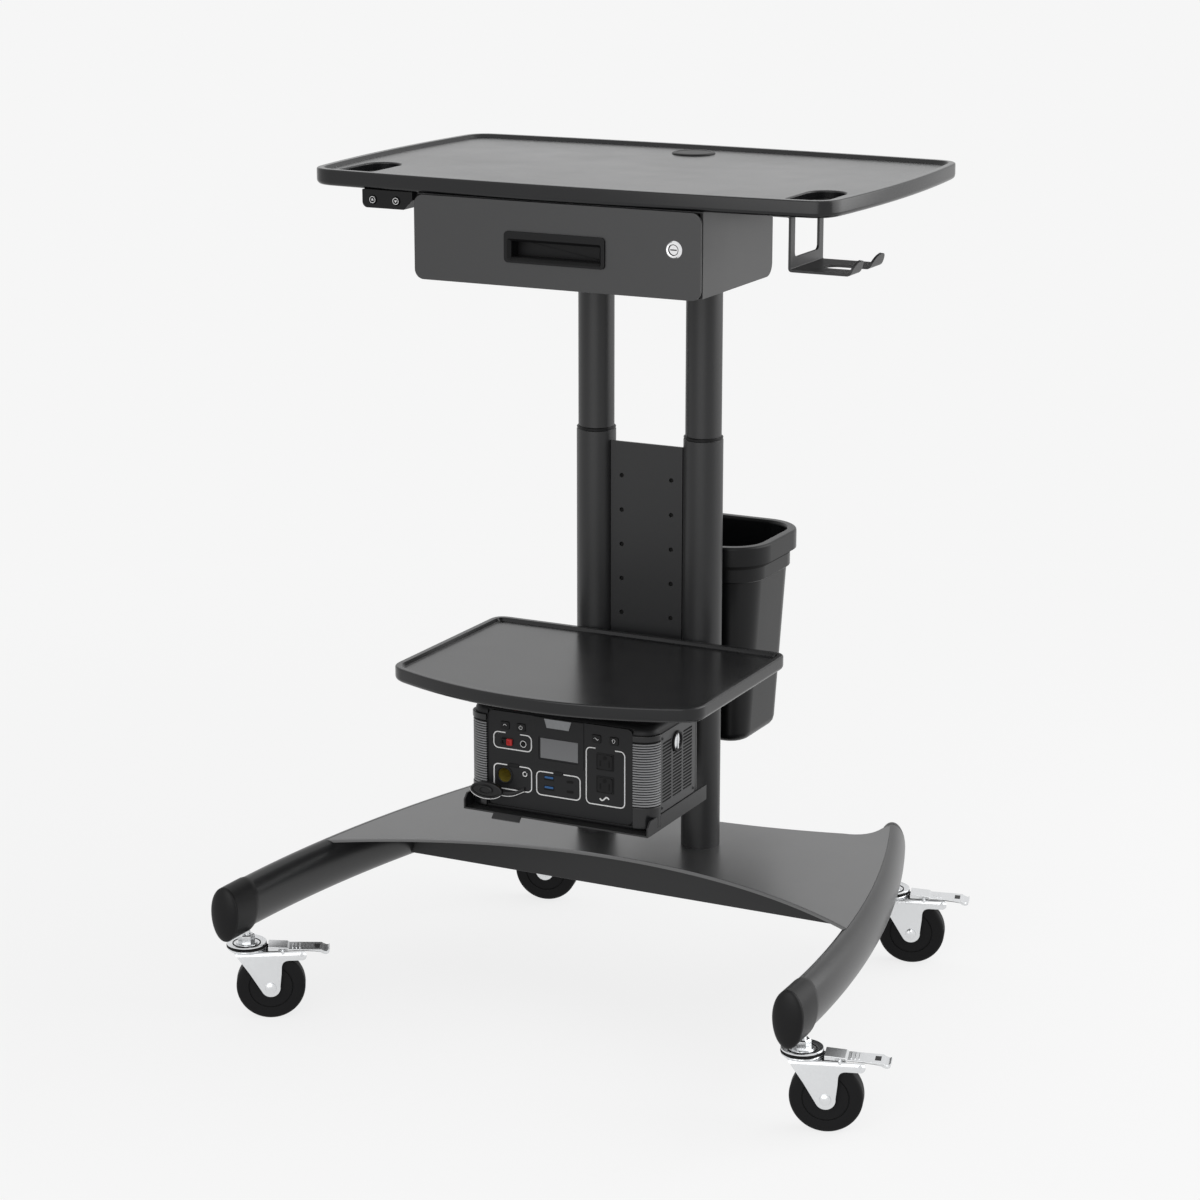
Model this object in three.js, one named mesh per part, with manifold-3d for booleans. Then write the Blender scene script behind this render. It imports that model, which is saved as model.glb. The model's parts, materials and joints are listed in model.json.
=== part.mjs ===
import * as THREE from "three";
import { mergeVertices } from "three/addons/utils/BufferGeometryUtils.js";
import Module from "manifold-3d";

// A mobile computer workstation: a sit-stand worktop on two lifting columns, with a drawer, a lower
// shelf, a battery power station on a tray and a waste bin, on a base with four braked casters.
// Millimetres, +Z up, the user sits on the -Y side. The floor is z = 0 and the middle of the two
// columns is x = y = 0 until the whole group is centred over its own footprint at the end.

const wasm = await Module();
wasm.setup();

// Shared clearances and cuts
const fitGap = 0.3;
const turnGap = 0.4;
const overrun = 5;

// Round section counts
const roundSides = 32;
const smallSides = 16;
const holeSides = 6;
const boltSides = 12;
const nutSides = 6;
const wheelSides = 20;

// Legs: an elliptical tube bent to one arc in plan
const legReach = 379.3;
const legReachY = -435.3;
const legArc = 1754.3;
const legHalfWidth = 18;
const legHalfHeight = 32.8;
const casterStandoff = 14.1;
const legWall = 2.5;
const legFrontY = -402;
const legBackY = 181;
const legSides = 20;
const legSteps = 10;
const legHollowSteps = 6;

// Leg end caps
const capSleeveOver = 24;
const capNose = 16;
const capFrontDome = 8;
const capSwell = 1.2;
const capChin = 4.4;
const capPlugDepth = 14;
const capPlugGap = 1.1;
const capBackDome = 42;

// Base plate and the beam under it
const plateProud = 0.5;
const plateThick = 5;
const plateInset = 2.5;
const plateFrontCornerY = -204;
const plateFrontMiddleY = -95;
const plateBackSetback = 9;
const plateBackMiddleY = 87;
const plateBackArc = 842;
const plateFilletRun = 37;
const plateFilletInset = 13.2;
const plateFilletSetback = 12;
const beamHalfDepth = 51;
const beamHeight = 60;
const beamWall = 3;

// Columns
const columnX = 74.5;
const columnRadius = 25;
const columnWall = 1.5;
const columnHeight = 531.4;
const collarHeight = 3.6;
const columnSlideGap = 0.7;
const innerWall = 1.8;
const innerLength = 505.4;

// Perforated plate between the columns
const backPlateFront = -8.6;
const backPlateThick = 3;
const backPlateRise = 55;
const backPlateDrop = 12.7;
const backPlateHoleInset = 15.3;
const backPlateHoleDrop = 43.6;
const backPlatePitch = 44.6;
const backPlateRows = 10;
const backPlateHoleRadius = 3;

// Worktop
const deskTop = 1056.4;
const deskThick = 20;
const deskFrontX = 340;
const deskFrontY = -244;
const deskBackX = 339;
const deskBackY = 174;
const deskFrontBulge = 14.5;
const deskSideBulge = 12.8;
const deskBackBulge = 12.4;
const deskCorner = 30;
const deskRim = 8;
const deskRimSlope = 2.5;
const deskPanelDrop = 4;
const deskEdgeRound = 3;
const deskUnderRound = 7;
const recessInset = 44.5;
const recessSetback = 68;
const recessHalfStraight = 29;
const recessRadius = 23.5;
const recessDepth = 12;
const grommetSetback = 49;
const grommetHole = 25;
const grommetCap = 27.5;
const grommetRise = 2.1;
const grommetSleeve = 14;

// Frame under the worktop
const crossbarHalf = 260;
const crossbarHeight = 25;
const crossbarMargin = 2.2;
const frameWall = 3;
const armWidth = 25;
const armHeight = 20;
const armFrontSetback = 144;
const armBackSetback = 24;
const motorHalf = 90;
const motorDepth = 55;
const motorHeight = 40;
const motorRound = 8;

// Height switch
const switchWidth = 69;
const switchCaseGap = 7;
const switchHeight = 21.9;
const switchPast = 6;
const switchDepth = 45;
const switchRound = 7;
const switchBevel = 12;
const switchButtonInset = 15;
const switchButtonPitch = 32;
const switchButtonDrop = 11.9;
const switchButtonRadius = 5;
const switchButtonProud = 1.5;
const switchButtonLength = 5;
const switchButtonTravel = 1;

// Accessory hook
const hookBeside = 25;
const hookSetback = 16;
const hookDepth = 95;
const hookThick = 3;
const hookDrop = 63.4;
const hookFlange = 21;
const hookStrip = 12;
const hookSill = 14;
const hookReach = 81.6;
const hookTipRise = 15;
const hookCurl = 17;
const hookSlotReach = 25;
const hookProng = 30;
const hookSlotWidth = 29;

// Drawer case, box, front, pull, lock and rails
const caseHalf = 187;
const casePast = 9;
const caseDepth = 202;
const caseHeight = 100.4;
const caseWall = 2;
const caseRound = 16;
const keeperHalf = 14;
const keeperDrop = 28;
const keeperThick = 2;
const keeperSetback = 5;
const frontSideOverlap = 1;
const frontOverlap = 1.5;
const frontDrop = 0.9;
const frontGap = 1;
const frontThick = 3;
const frontRound = 12;
const boxSideGap = 1;
const boxFloorGap = 5;
const boxTopGap = 14.4;
const boxBackGap = 11;
const boxWall = 1.5;
const railRise = 39;
const railHalfHeight = 10;
const railDepth = 8;
const railFrontGap = 5;
const railBackGap = 13;
const tongueHalfHeight = 2;
const tongueReach = 6;
const pullHalf = 66;
const pullRise = 28.5;
const pullHeight = 37;
const pullRound = 5;
const pullProud = 2.5;
const pullMouthHalf = 58;
const pullSill = 6;
const pullMouthHeight = 19;
const pullDepth = 20;
const pullWall = 2.5;
const lockInset = 34;
const lockDrop = 43.5;
const lockRadius = 8.5;
const lockFlange = 10.5;
const lockProud = 2.5;
const lockBody = 14;
const lockCamLength = 18;
const lockCamHalf = 4;
const lockCamThick = 2;

// Lower shelf and its bracket
const shelfRise = 276.9;
const shelfThick = 18.4;
const shelfFrontX = 208;
const shelfDepth = 268.7;
const shelfBackX = 205;
const shelfColumnGap = 2.3;
const shelfBulge = 50.7;
const shelfCorner = 20;
const shelfRim = 8;
const shelfRimSlope = 3;
const shelfPanelDrop = 4;
const shelfEdgeRound = 3;
const shelfUnderRound = 6;
const bracketHalf = 70;
const bracketThick = 3;
const bracketReach = 225;
const bracketColumnGap = 4.5;
const bracketDrop = 46;
const bracketRibInset = 7;
const bracketRibReach = 85;

// Tray under the power station
const trayHalf = 126.4;
const trayFront = -262;
const trayBackMargin = 10;
const trayRise = 95;
const trayThick = 2;
const trayLip = 19;
const trayBevel = 7;
const trayColumnGap = 2.5;
const trayFlange = 46;
const trayRib = 38;
const trayRibReach = 120;
const trayTabLeft = -84;
const trayTabRight = -46;
const trayTabDrop = 7;

// Power station
const stationSetback = 14;
const stationDepth = 143;
const stationHeight = 130;
const stationCorner = 23.1;
const stationBevel = 18;
const stationFoot = 3;
const stationShoulder = 10;
const stationShoulderInset = 8;
const handleHalf = 88;
const handlePost = 18;
const handleRise = 25;
const handleBar = 11;
const handleSetback = 48;
const handleDepth = 42;
const faceMargin = 2;
const faceRise = 5;
const faceDrop = 4;
const faceThick = 3.5;
const faceRound = 8;
const screenLeft = -27;
const screenRight = 25;
const screenHeight = 26;
const screenDrop = 26.5;
const screenSink = 0.6;
const keyHalfWidth = 6;
const keyHalfHeight = 5;
const keyRound = 2;
const keyProud = 1.2;
const keyLength = 3.2;
const keyDrop = 17.4;
const startKeyInset = 24.1;
const powerKeyPitch = 22;
const outputKeyPitch = 23.4;
const lampKeyInset = 25.3;
const socketInset = 23;
const socketRise = 39.6;
const socketRadius = 10;
const socketDepth = 38;
const lampSetback = 67;
const lampDrop = 32;
const lampRadius = 13;
const lampProud = 4;
const lampBezel = 3;

// Rubber cover of the car socket, hanging open in front of the tray
const coverInset = 34.4;
const coverHalf = 22;
const coverHalfHeight = 10.5;
const coverThick = 6;
const coverLift = 1.5;
const strapWidth = 6;
const strapThick = 2;
const strapRound = 0.8;
const strapAnchorX = -50;
const strapAnchorRise = 25;
const strapSag = 9;

// Waste bin and its hanger
const binHeight = 267;
const binRise = 113;
const binHalfX = 123;
const binHalfY = 90;
const binColumnGap = 25;
const binCorner = 55;
const binWall = 2;
const binRimSkirt = 25;
const binRimRound = 3;
const binBandInset = 8;
const binBandHeight = 49;
const binBodyInset = 11.4;
const binFootInset = 26;
const binFootRound = 12;
const hangerColumnGap = 5.5;
const hangerThick = 2.5;
const hangerDrop = 60;
const hangerLip = 14;

// Casters
const wheelRadius = 43.25;
const wheelHalf = 12;
const wheelTreadHalf = 8.5;
const wheelShoulder = 4;
const axleRadius = 5.5;
const wheelBoss = 14.4;
const casterTrail = 29.2;
const forkInside = 15;
const forkSheet = 2.6;
const forkClear = 2.1;
const forkEye = 12;
const forkNeck = 17;
const forkArm = 75;
const forkArmDrop = 15.5;
const forkThroatX = 43;
const forkThroat = 10;
const forkEndDrop = 3;
const forkEndRise = 2;
const forkSideRise = 6;
const headRadius = 24.5;
const headWaist = 19;
const headRise = 7.2;
const boltHead = 7;
const boltHeadHeight = 3;
const kingpinRadius = 6;
const kingpinHead = 9;
const kingpinHeadHeight = 3.6;
const dishRadius = 25;
const dishHeight = 4.2;
const dishLip = 2;
const dishWell = 17;
const nutRadius = 10.5;
const nutHeight = 12;
const studRadius = 5;
const studShort = 1.7;
const leverStart = 26.8;
const leverEnd = 100;
const leverHalf = 13.5;
const leverSheet = 1.8;
const leverStartRise = 9.4;
const leverEndRise = 3;
const leverStepX = 53;
const leverStep = 1.8;
const leverCurl = 3.4;
const leverPivotX = 45.2;
const leverPinRadius = 2.5;
const leverEarHalf = 6.5;
const leverEarThick = 2.4;
const leverPadX = 59;
const leverPadHalf = 4;
const leverPadHalfWidth = 9;
const leverPadClear = 3.4;
const frontCasterSetback = 29;
const backCasterSetback = 7;
const swivels = { front_left: 31, front_right: 17, back_left: 14, back_right: 17 };

// Sizes that follow from those above: the casters, up to the leg they carry
const bridgeZ = 2 * wheelRadius + forkClear;
const headTop = bridgeZ + headRise;
const dishBottom = headTop + turnGap;
const dishTop = dishBottom + dishHeight;
const forkTop = bridgeZ + forkSideRise;
const leverPivotZ = forkTop - 2 * leverPinRadius;
const legMiddleZ = dishTop + casterStandoff + capChin + legHalfHeight;
const studTop = legMiddleZ - studShort;
const frontCasterY = legFrontY + frontCasterSetback;
const backCasterY = legBackY - backCasterSetback;
const capSleeveY = legFrontY + capSleeveOver;
const capSeamY = legFrontY - capNose;

// Base plate, beam and columns
const plateTop = legMiddleZ + legHalfHeight + plateProud;
const plateBackCornerY = legBackY - plateBackSetback;
const beamBottom = plateTop - beamHeight;
const columnTop = plateTop + columnHeight;
const innerRadius = columnRadius - columnWall - columnSlideGap;
const backPlateBack = backPlateFront + backPlateThick;
const backPlateBottom = plateTop + backPlateRise;
const backPlateTop = columnTop - backPlateDrop;
const backPlateHoleTop = backPlateTop - backPlateHoleDrop;
const betweenColumns = columnX - columnRadius;

// Worktop, frame, switch and hook
const deskUnder = deskTop - deskThick;
const panelZ = deskTop - deskPanelDrop;
const recessX = deskFrontX - recessInset;
const recessY = deskFrontY + recessSetback;
const grommetY = deskBackY - grommetSetback;
const innerTop = deskUnder - crossbarHeight;
const innerBottom = innerTop - innerLength;
const crossbarHalfDepth = innerRadius + crossbarMargin;
const switchRight = -caseHalf - switchCaseGap;
const switchLeft = switchRight - switchWidth;
const switchFront = deskFrontY - switchPast;
const switchButtonUpX = switchLeft + switchButtonInset;
const switchButtonDownX = switchButtonUpX + switchButtonPitch;
const armFrontY = deskFrontY + armFrontSetback;
const armBackY = deskBackY - armBackSetback;
const hookX = crossbarHalf + hookBeside;
const hookFront = deskFrontY + hookSetback;
const hookBack = hookFront + hookDepth;
const hookFoldZ = deskUnder - hookDrop;
const hookTipX = hookX + hookReach;
const hookTipZ = hookFoldZ + hookTipRise;
const hookSlotX = hookX + hookSlotReach;
const hookSlotFront = hookFront + hookProng;
const hookSlotBack = hookSlotFront + hookSlotWidth;

// Drawer
const caseFront = deskFrontY - casePast;
const caseBack = caseFront + caseDepth;
const caseBottom = deskUnder - caseHeight;
const frontHalf = caseHalf + frontSideOverlap;
const frontBottom = caseBottom - frontOverlap;
const frontTop = deskUnder - frontDrop;
const frontFace = caseFront - frontGap - frontThick;
const frontBack = frontFace + frontThick;
const boxHalf = caseHalf - caseWall - railDepth - boxSideGap;
const boxBottom = caseBottom + boxFloorGap;
const boxTop = deskUnder - boxTopGap;
const boxBack = caseBack - boxBackGap;
const railZ = caseBottom + railRise;
const railFront = caseFront + railFrontGap;
const railBack = caseBack - railBackGap;
const tongueTop = railZ + tongueHalfHeight;
const pullBottom = frontBottom + pullRise;
const pullTop = pullBottom + pullHeight;
const pullMouthBottom = pullBottom + pullSill;
const pullMouthTop = pullMouthBottom + pullMouthHeight;
const lockX = frontHalf - lockInset;
const lockZ = frontTop - lockDrop;

// Lower shelf, tray and power station
const shelfTop = plateTop + shelfRise;
const shelfUnder = shelfTop - shelfThick;
const shelfBackY = -columnRadius - shelfColumnGap;
const shelfFrontY = shelfBackY - shelfDepth;
const bracketFlangeHalf = betweenColumns - bracketColumnGap;
const bracketRibX = bracketFlangeHalf - bracketRibInset;
const trayBottom = plateTop + trayRise;
const trayFloor = trayBottom + trayThick;
const trayNeckHalf = betweenColumns - trayColumnGap;
const stationFront = trayFront + stationSetback;
const stationBack = stationFront + stationDepth;
const stationTop = trayFloor + stationHeight;
const stationHalf = trayHalf - trayThick - fitGap;
const stationFaceHalf = stationHalf - stationCorner;
const trayBack = stationBack + trayBackMargin;
const handleFront = stationFront + handleSetback;
const handleBack = handleFront + handleDepth;
const faceHalf = stationFaceHalf - faceMargin;
const faceBottom = trayFloor + faceRise;
const faceTop = stationTop - faceDrop;
const faceBack = stationFront + faceThick;
const screenTop = faceTop - screenDrop;
const screenBottom = screenTop - screenHeight;
const keyZ = faceTop - keyDrop;
const startKeyX = startKeyInset - faceHalf;
const powerKeyX = startKeyX + powerKeyPitch;
const lampKeyX = faceHalf - lampKeyInset;
const outputKeyX = lampKeyX - outputKeyPitch;
const socketX = socketInset - faceHalf;
const socketZ = faceBottom + socketRise;
const lampY = stationFront + lampSetback;
const lampZ = stationTop - lampDrop;
const coverX = coverInset - trayHalf;
const coverFront = trayFront - coverThick;
const strapAnchorZ = faceBottom + strapAnchorRise;

// Waste bin
const binBottom = plateTop + binRise;
const binTop = binBottom + binHeight;
const binY = columnRadius + binColumnGap + binHalfY;
const binBandBottom = binTop - binBandHeight;
const hangerHalf = betweenColumns - hangerColumnGap;

// Materials, by finish
const finishes = {
  blackSteel: { color: 0x2c2d2f, roughness: 0.45, metalness: 0.35 },
  greyPlate: { color: 0x55575a, roughness: 0.5, metalness: 0.3 },
  legPaint: { color: 0x3b3d3f, roughness: 0.4, metalness: 0.3 },
  blackPlastic: { color: 0x1b1b1c, roughness: 0.55, metalness: 0 },
  deskBoard: { color: 0x303133, roughness: 0.5, metalness: 0 },
  binPlastic: { color: 0x232425, roughness: 0.6, metalness: 0 },
  stationPlastic: { color: 0x2a2b2d, roughness: 0.55, metalness: 0 },
  screenGlass: { color: 0x6f7173, roughness: 0.2, metalness: 0 },
  zinc: { color: 0xc9cbcd, roughness: 0.25, metalness: 0.9 },
  tyre: { color: 0x161616, roughness: 0.6, metalness: 0 },
};

const workstation = new THREE.Group();

// Helpers

// A closed geometry as a solid, with its shared vertices merged and slivers of no area dropped.
function solid(geometry) {
  const bare = geometry.clone();
  bare.deleteAttribute("normal");
  bare.deleteAttribute("uv");
  const merged = mergeVertices(bare);
  const index = [];
  for (let i = 0; i < merged.index.count; i += 3) {
    const [a, b, c] = [merged.index.getX(i), merged.index.getX(i + 1), merged.index.getX(i + 2)];
    if (a !== b && b !== c && c !== a) index.push(a, b, c);
  }
  return new wasm.Manifold(
    new wasm.Mesh({
      numProp: 3,
      vertProperties: merged.attributes.position.array,
      triVerts: new Uint32Array(index),
    }),
  );
}

function geometryOf(body) {
  const mesh = body.getMesh();
  const geometry = new THREE.BufferGeometry();
  geometry.setAttribute("position", new THREE.BufferAttribute(mesh.vertProperties, mesh.numProp));
  geometry.setIndex(new THREE.BufferAttribute(mesh.triVerts, 1));
  geometry.computeVertexNormals();
  return geometry;
}

const join = (first, ...rest) => rest.reduce((body, other) => body.add(other), first);
const cut = (first, ...rest) => rest.reduce((body, other) => body.subtract(other), first);

function piece(name, body, finish, parent = workstation) {
  const mesh = new THREE.Mesh(geometryOf(body), new THREE.MeshStandardMaterial(finishes[finish]));
  mesh.name = name;
  parent.add(mesh);
  return mesh;
}

function box(x0, x1, y0, y1, z0, z1) {
  const geometry = new THREE.BoxGeometry(x1 - x0, y1 - y0, z1 - z0);
  return solid(geometry.translate((x0 + x1) / 2, (y0 + y1) / 2, (z0 + z1) / 2));
}

const flat = { bevelEnabled: false, curveSegments: 2 };

function extrudeZ(shape, z0, z1) {
  return solid(new THREE.ExtrudeGeometry(shape, { ...flat, depth: z1 - z0 }).translate(0, 0, z0));
}

// The shape is drawn with x to the right and y up, and stands in the XZ plane.
function extrudeY(shape, y0, y1) {
  const geometry = new THREE.ExtrudeGeometry(shape, { ...flat, depth: y1 - y0 });
  return solid(geometry.rotateX(Math.PI / 2).translate(0, y1, 0));
}

// The shape is drawn with y to the right and z up, and stands in the YZ plane.
function extrudeX(shape, x0, x1) {
  const geometry = new THREE.ExtrudeGeometry(shape, { ...flat, depth: x1 - x0 });
  const axes = new THREE.Matrix4().makeBasis(
    new THREE.Vector3(0, 1, 0),
    new THREE.Vector3(0, 0, 1),
    new THREE.Vector3(1, 0, 0),
  );
  return solid(geometry.applyMatrix4(axes).translate(x0, 0, 0));
}

function roundedRect(x0, y0, x1, y1, r) {
  const shape = new THREE.Shape();
  shape.absarc(x1 - r, y0 + r, r, -Math.PI / 2, 0);
  shape.absarc(x1 - r, y1 - r, r, 0, Math.PI / 2);
  shape.absarc(x0 + r, y1 - r, r, Math.PI / 2, Math.PI);
  shape.absarc(x0 + r, y0 + r, r, Math.PI, (3 * Math.PI) / 2);
  return shape;
}

const polygon = (points) => new THREE.Shape(points.map(([x, y]) => new THREE.Vector2(x, y)));

function cylinder(x, y, z0, z1, radius, sides = smallSides) {
  const geometry = new THREE.CylinderGeometry(radius, radius, z1 - z0, sides);
  return solid(geometry.rotateX(Math.PI / 2).translate(x, y, (z0 + z1) / 2));
}

function cylinderY(x, z, y0, y1, radius, sides = smallSides) {
  const geometry = new THREE.CylinderGeometry(radius, radius, y1 - y0, sides);
  return solid(geometry.translate(x, (y0 + y1) / 2, z));
}

function cylinderX(y, z, x0, x1, radius, sides = smallSides) {
  const geometry = new THREE.CylinderGeometry(radius, radius, x1 - x0, sides);
  return solid(geometry.rotateZ(Math.PI / 2).translate((x0 + x1) / 2, y, z));
}

function tube(x, y, z0, z1, outer, inner, sides = roundSides) {
  const bore = cylinder(x, y, z0 - overrun, z1 + overrun, inner, sides);
  return cut(cylinder(x, y, z0, z1, outer, sides), bore);
}

// A profile of [radius, height] turned about Z.
function turned(profile, sides = smallSides) {
  const points = profile.map(([r, h]) => new THREE.Vector2(r, h));
  return solid(new THREE.LatheGeometry(points, sides).rotateX(Math.PI / 2));
}

// A skin over rings of points, closed by a fan at each end. The rings run anticlockwise, bottom to top.
function loft(rings) {
  const count = rings[0].length;
  const vertices = rings.flat();
  const index = [];
  for (let r = 0; r + 1 < rings.length; r += 1) {
    for (let i = 0; i < count; i += 1) {
      const a = r * count + i;
      const b = r * count + ((i + 1) % count);
      index.push(a, b, b + count, a, b + count, a + count);
    }
  }
  const last = (rings.length - 1) * count;
  for (let i = 1; i + 1 < count; i += 1) {
    index.push(0, i + 1, i, last, last + i, last + i + 1);
  }
  const geometry = new THREE.BufferGeometry().setFromPoints(vertices);
  return solid(geometry.setIndex(index));
}

const ring = (outline, z) => outline.map((p) => new THREE.Vector3(p.x, p.y, z));

// Moves every point of an anticlockwise outline inwards.
function inset(outline, distance) {
  return outline.map((point, i) => {
    const before = outline[(i + outline.length - 1) % outline.length];
    const after = outline[(i + 1) % outline.length];
    const first = point.clone().sub(before).normalize();
    const second = after.clone().sub(point).normalize();
    const normal = new THREE.Vector2(-first.y - second.y, first.x + second.x).normalize();
    const lean = normal.dot(new THREE.Vector2(-first.y, first.x));
    return point.clone().addScaledVector(normal, distance / lean);
  });
}

// A four-sided outline whose sides bulge and whose corners are rounded.
function bulgedOutline(corners, bulges, radius, sideSteps, cornerSteps) {
  const along = (i, t) => {
    const from = corners[i % corners.length];
    const to = corners[(i + 1) % corners.length];
    const run = to.clone().sub(from);
    const out = new THREE.Vector2(run.y, -run.x).normalize();
    const bulge = bulges[i % corners.length] * (1 - (2 * t - 1) ** 2);
    return from.clone().addScaledVector(run, t).addScaledVector(out, bulge);
  };
  const trim = (i) => {
    const from = corners[i % corners.length];
    return radius / from.distanceTo(corners[(i + 1) % corners.length]);
  };
  const outline = [];
  corners.forEach((corner, i) => {
    for (let k = 0; k <= sideSteps; k += 1) {
      outline.push(along(i, trim(i) + (1 - 2 * trim(i)) * (k / sideSteps)));
    }
    const turn = new THREE.QuadraticBezierCurve(
      along(i, 1 - trim(i)),
      corners[(i + 1) % corners.length],
      along(i + 1, trim(i + 1)),
    );
    outline.push(...turn.getPoints(cornerSteps).slice(1, -1));
  });
  return outline;
}

// A centre line of [x, y] points given a thickness.
function ribbon(points, thickness) {
  const line = points.map(([x, y]) => new THREE.Vector2(x, y));
  const sides = [1, -1].map((side) =>
    line.map((point, i) => {
      const before = line[Math.max(i - 1, 0)];
      const after = line[Math.min(i + 1, line.length - 1)];
      const first = (i === 0 ? after.clone().sub(point) : point.clone().sub(before)).normalize();
      const second = (after === point ? first : after.clone().sub(point)).clone().normalize();
      const normal = new THREE.Vector2(-first.y - second.y, first.x + second.x).normalize();
      const lean = normal.dot(new THREE.Vector2(-first.y, first.x));
      return point.clone().addScaledVector(normal, (side * thickness) / (2 * lean));
    }),
  );
  return new THREE.Shape([...sides[0], ...sides[1].reverse()]);
}

const mirrored = [
  ["left", -1],
  ["right", 1],
];

// Base

// The centre line of the right leg, and the distance along it.
const legX = (y) => legReach - legArc + Math.sqrt(legArc ** 2 - (y - legReachY) ** 2);
const legRun = (y) => legArc * Math.asin((y - legReachY) / legArc);

// A ring round the leg's centre line, square to it.
function legRing(run, halfWidth, up, down) {
  const angle = run / legArc;
  return Array.from({ length: legSides }, (_, i) => {
    const turn = (2 * Math.PI * i) / legSides;
    const out = legArc + halfWidth * Math.cos(turn);
    const z = legMiddleZ + (Math.sin(turn) > 0 ? up : down) * Math.sin(turn);
    const x = legReach - legArc + out * Math.cos(angle);
    return new THREE.Vector3(x, legReachY + out * Math.sin(angle), z);
  }).reverse();
}

function legBar(fromY, toY, grow, steps) {
  const rings = [];
  for (let i = 0; i <= steps; i += 1) {
    const run = legRun(fromY) + ((legRun(toY) - legRun(fromY)) * i) / steps;
    const height = legHalfHeight + grow;
    rings.push(legRing(run, legHalfWidth + grow, height, height));
  }
  return loft(rings);
}

function flipX(body) {
  const geometry = geometryOf(body).scale(-1, 1, 1);
  const index = geometry.index.array;
  for (let i = 0; i < index.length; i += 3) {
    [index[i + 1], index[i + 2]] = [index[i + 2], index[i + 1]];
  }
  return solid(geometry);
}

const studHole = (y) =>
  cylinder(legX(y), y, dishTop, studTop + overrun, studRadius + fitGap, boltSides);

function leg() {
  const skin = legBar(legFrontY, legBackY, 0, legSteps);
  const hollow = legBar(legFrontY - overrun, legBackY + overrun, -legWall, legHollowSteps);
  return cut(skin, hollow, studHole(frontCasterY), studHole(backCasterY));
}

const domeShares = [0.5, 0.85, 1];
const domeTipShare = 0.2;

// A dome that closes the leg's end: rings that shrink as an ellipse does.
function domeRings(seamY, depth, halfWidth, up, down) {
  const step = Math.sign(depth);
  const rings = [legRing(legRun(seamY), halfWidth, up, down)];
  domeShares.forEach((share) => {
    const shrink = Math.max(Math.sqrt(1 - share ** 2), domeTipShare);
    const run = legRun(seamY) + step * Math.abs(depth) * share;
    rings.push(legRing(run, halfWidth * shrink, up * shrink, down * shrink));
  });
  return rings;
}

function frontCap() {
  const halfWidth = legHalfWidth + capSwell;
  const up = legHalfHeight + capSwell;
  const down = legHalfHeight + capChin;
  const dome = domeRings(capSeamY, -capFrontDome, halfWidth, up, down).reverse();
  const sleeve = legRing(legRun(capSleeveY), halfWidth, up, down);
  const inside = legBar(legFrontY - fitGap, capSleeveY + overrun, fitGap, 2);
  return cut(loft([...dome, sleeve]), inside, studHole(frontCasterY));
}

function backCap() {
  const seam = legBackY + fitGap;
  const size = [legHalfWidth, legHalfHeight, legHalfHeight];
  const plug = legBar(legBackY - capPlugDepth, seam + fitGap, -legWall - capPlugGap, 2);
  const clear = studHole(backCasterY);
  return cut(join(loft(domeRings(seam, capBackDome, ...size)), plug), clear);
}

function plateOutline() {
  const edgeX = (y) => legX(y) - plateInset;
  const sideSteps = 10;
  const side = Array.from({ length: sideSteps + 1 }, (_, i) => {
    const y = plateFrontCornerY + ((plateBackCornerY - plateFrontCornerY) * i) / sideSteps;
    return [edgeX(y), y];
  });
  const shape = new THREE.Shape();
  shape.moveTo(...side[0]);
  side.slice(1).forEach(([x, y]) => shape.lineTo(x, y));
  const filletY = plateBackCornerY - plateFilletSetback;
  const filletX = legX(filletY) - plateFilletInset;
  const arcX = filletX - plateFilletRun;
  const backMiddle = plateBackMiddleY + plateBackArc;
  const backLean = Math.asin(arcX / plateBackArc);
  const backY = backMiddle - plateBackArc * Math.cos(backLean);
  shape.lineTo(filletX, filletY);
  shape.quadraticCurveTo(filletX - plateInset, backY + plateInset, arcX, backY);
  const straightDown = -Math.PI / 2;
  shape.absarc(0, backMiddle, plateBackArc, straightDown + backLean, straightDown - backLean, true);
  shape.quadraticCurveTo(plateInset - filletX, backY + plateInset, -filletX, filletY);
  side.reverse().forEach(([x, y]) => shape.lineTo(-x, y));
  const frontX = edgeX(plateFrontCornerY);
  const frontSag = plateFrontMiddleY - plateFrontCornerY;
  const frontArc = (frontX ** 2 + frontSag ** 2) / (2 * frontSag);
  const frontLean = Math.asin(frontX / frontArc);
  const straightUp = Math.PI / 2;
  const frontMiddle = plateFrontMiddleY - frontArc;
  shape.absarc(0, frontMiddle, frontArc, straightUp + frontLean, straightUp - frontLean, true);
  return shape;
}

function legClearance() {
  const right = legBar(legFrontY, legBackY + overrun, fitGap, legSteps);
  return join(right, flipX(right));
}

function basePlate(clearance) {
  const geometry = new THREE.ExtrudeGeometry(plateOutline(), {
    depth: plateThick,
    bevelEnabled: false,
    curveSegments: 8,
  });
  return cut(solid(geometry.translate(0, 0, plateTop - plateThick)), clearance);
}

function crossBeam(clearance) {
  const top = plateTop - plateThick;
  const ends = [-beamHalfDepth, 0, beamHalfDepth];
  const right = ends.map((y) => [legX(y), y]);
  const left = ends.map((y) => [-legX(y), y]).reverse();
  const bar = extrudeZ(polygon([...right, ...left]), beamBottom, top);
  const inner = beamHalfDepth - beamWall;
  const hollow = box(-legReach, legReach, -inner, inner, beamBottom + beamWall, top - beamWall);
  return cut(bar, hollow, clearance);
}

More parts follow.
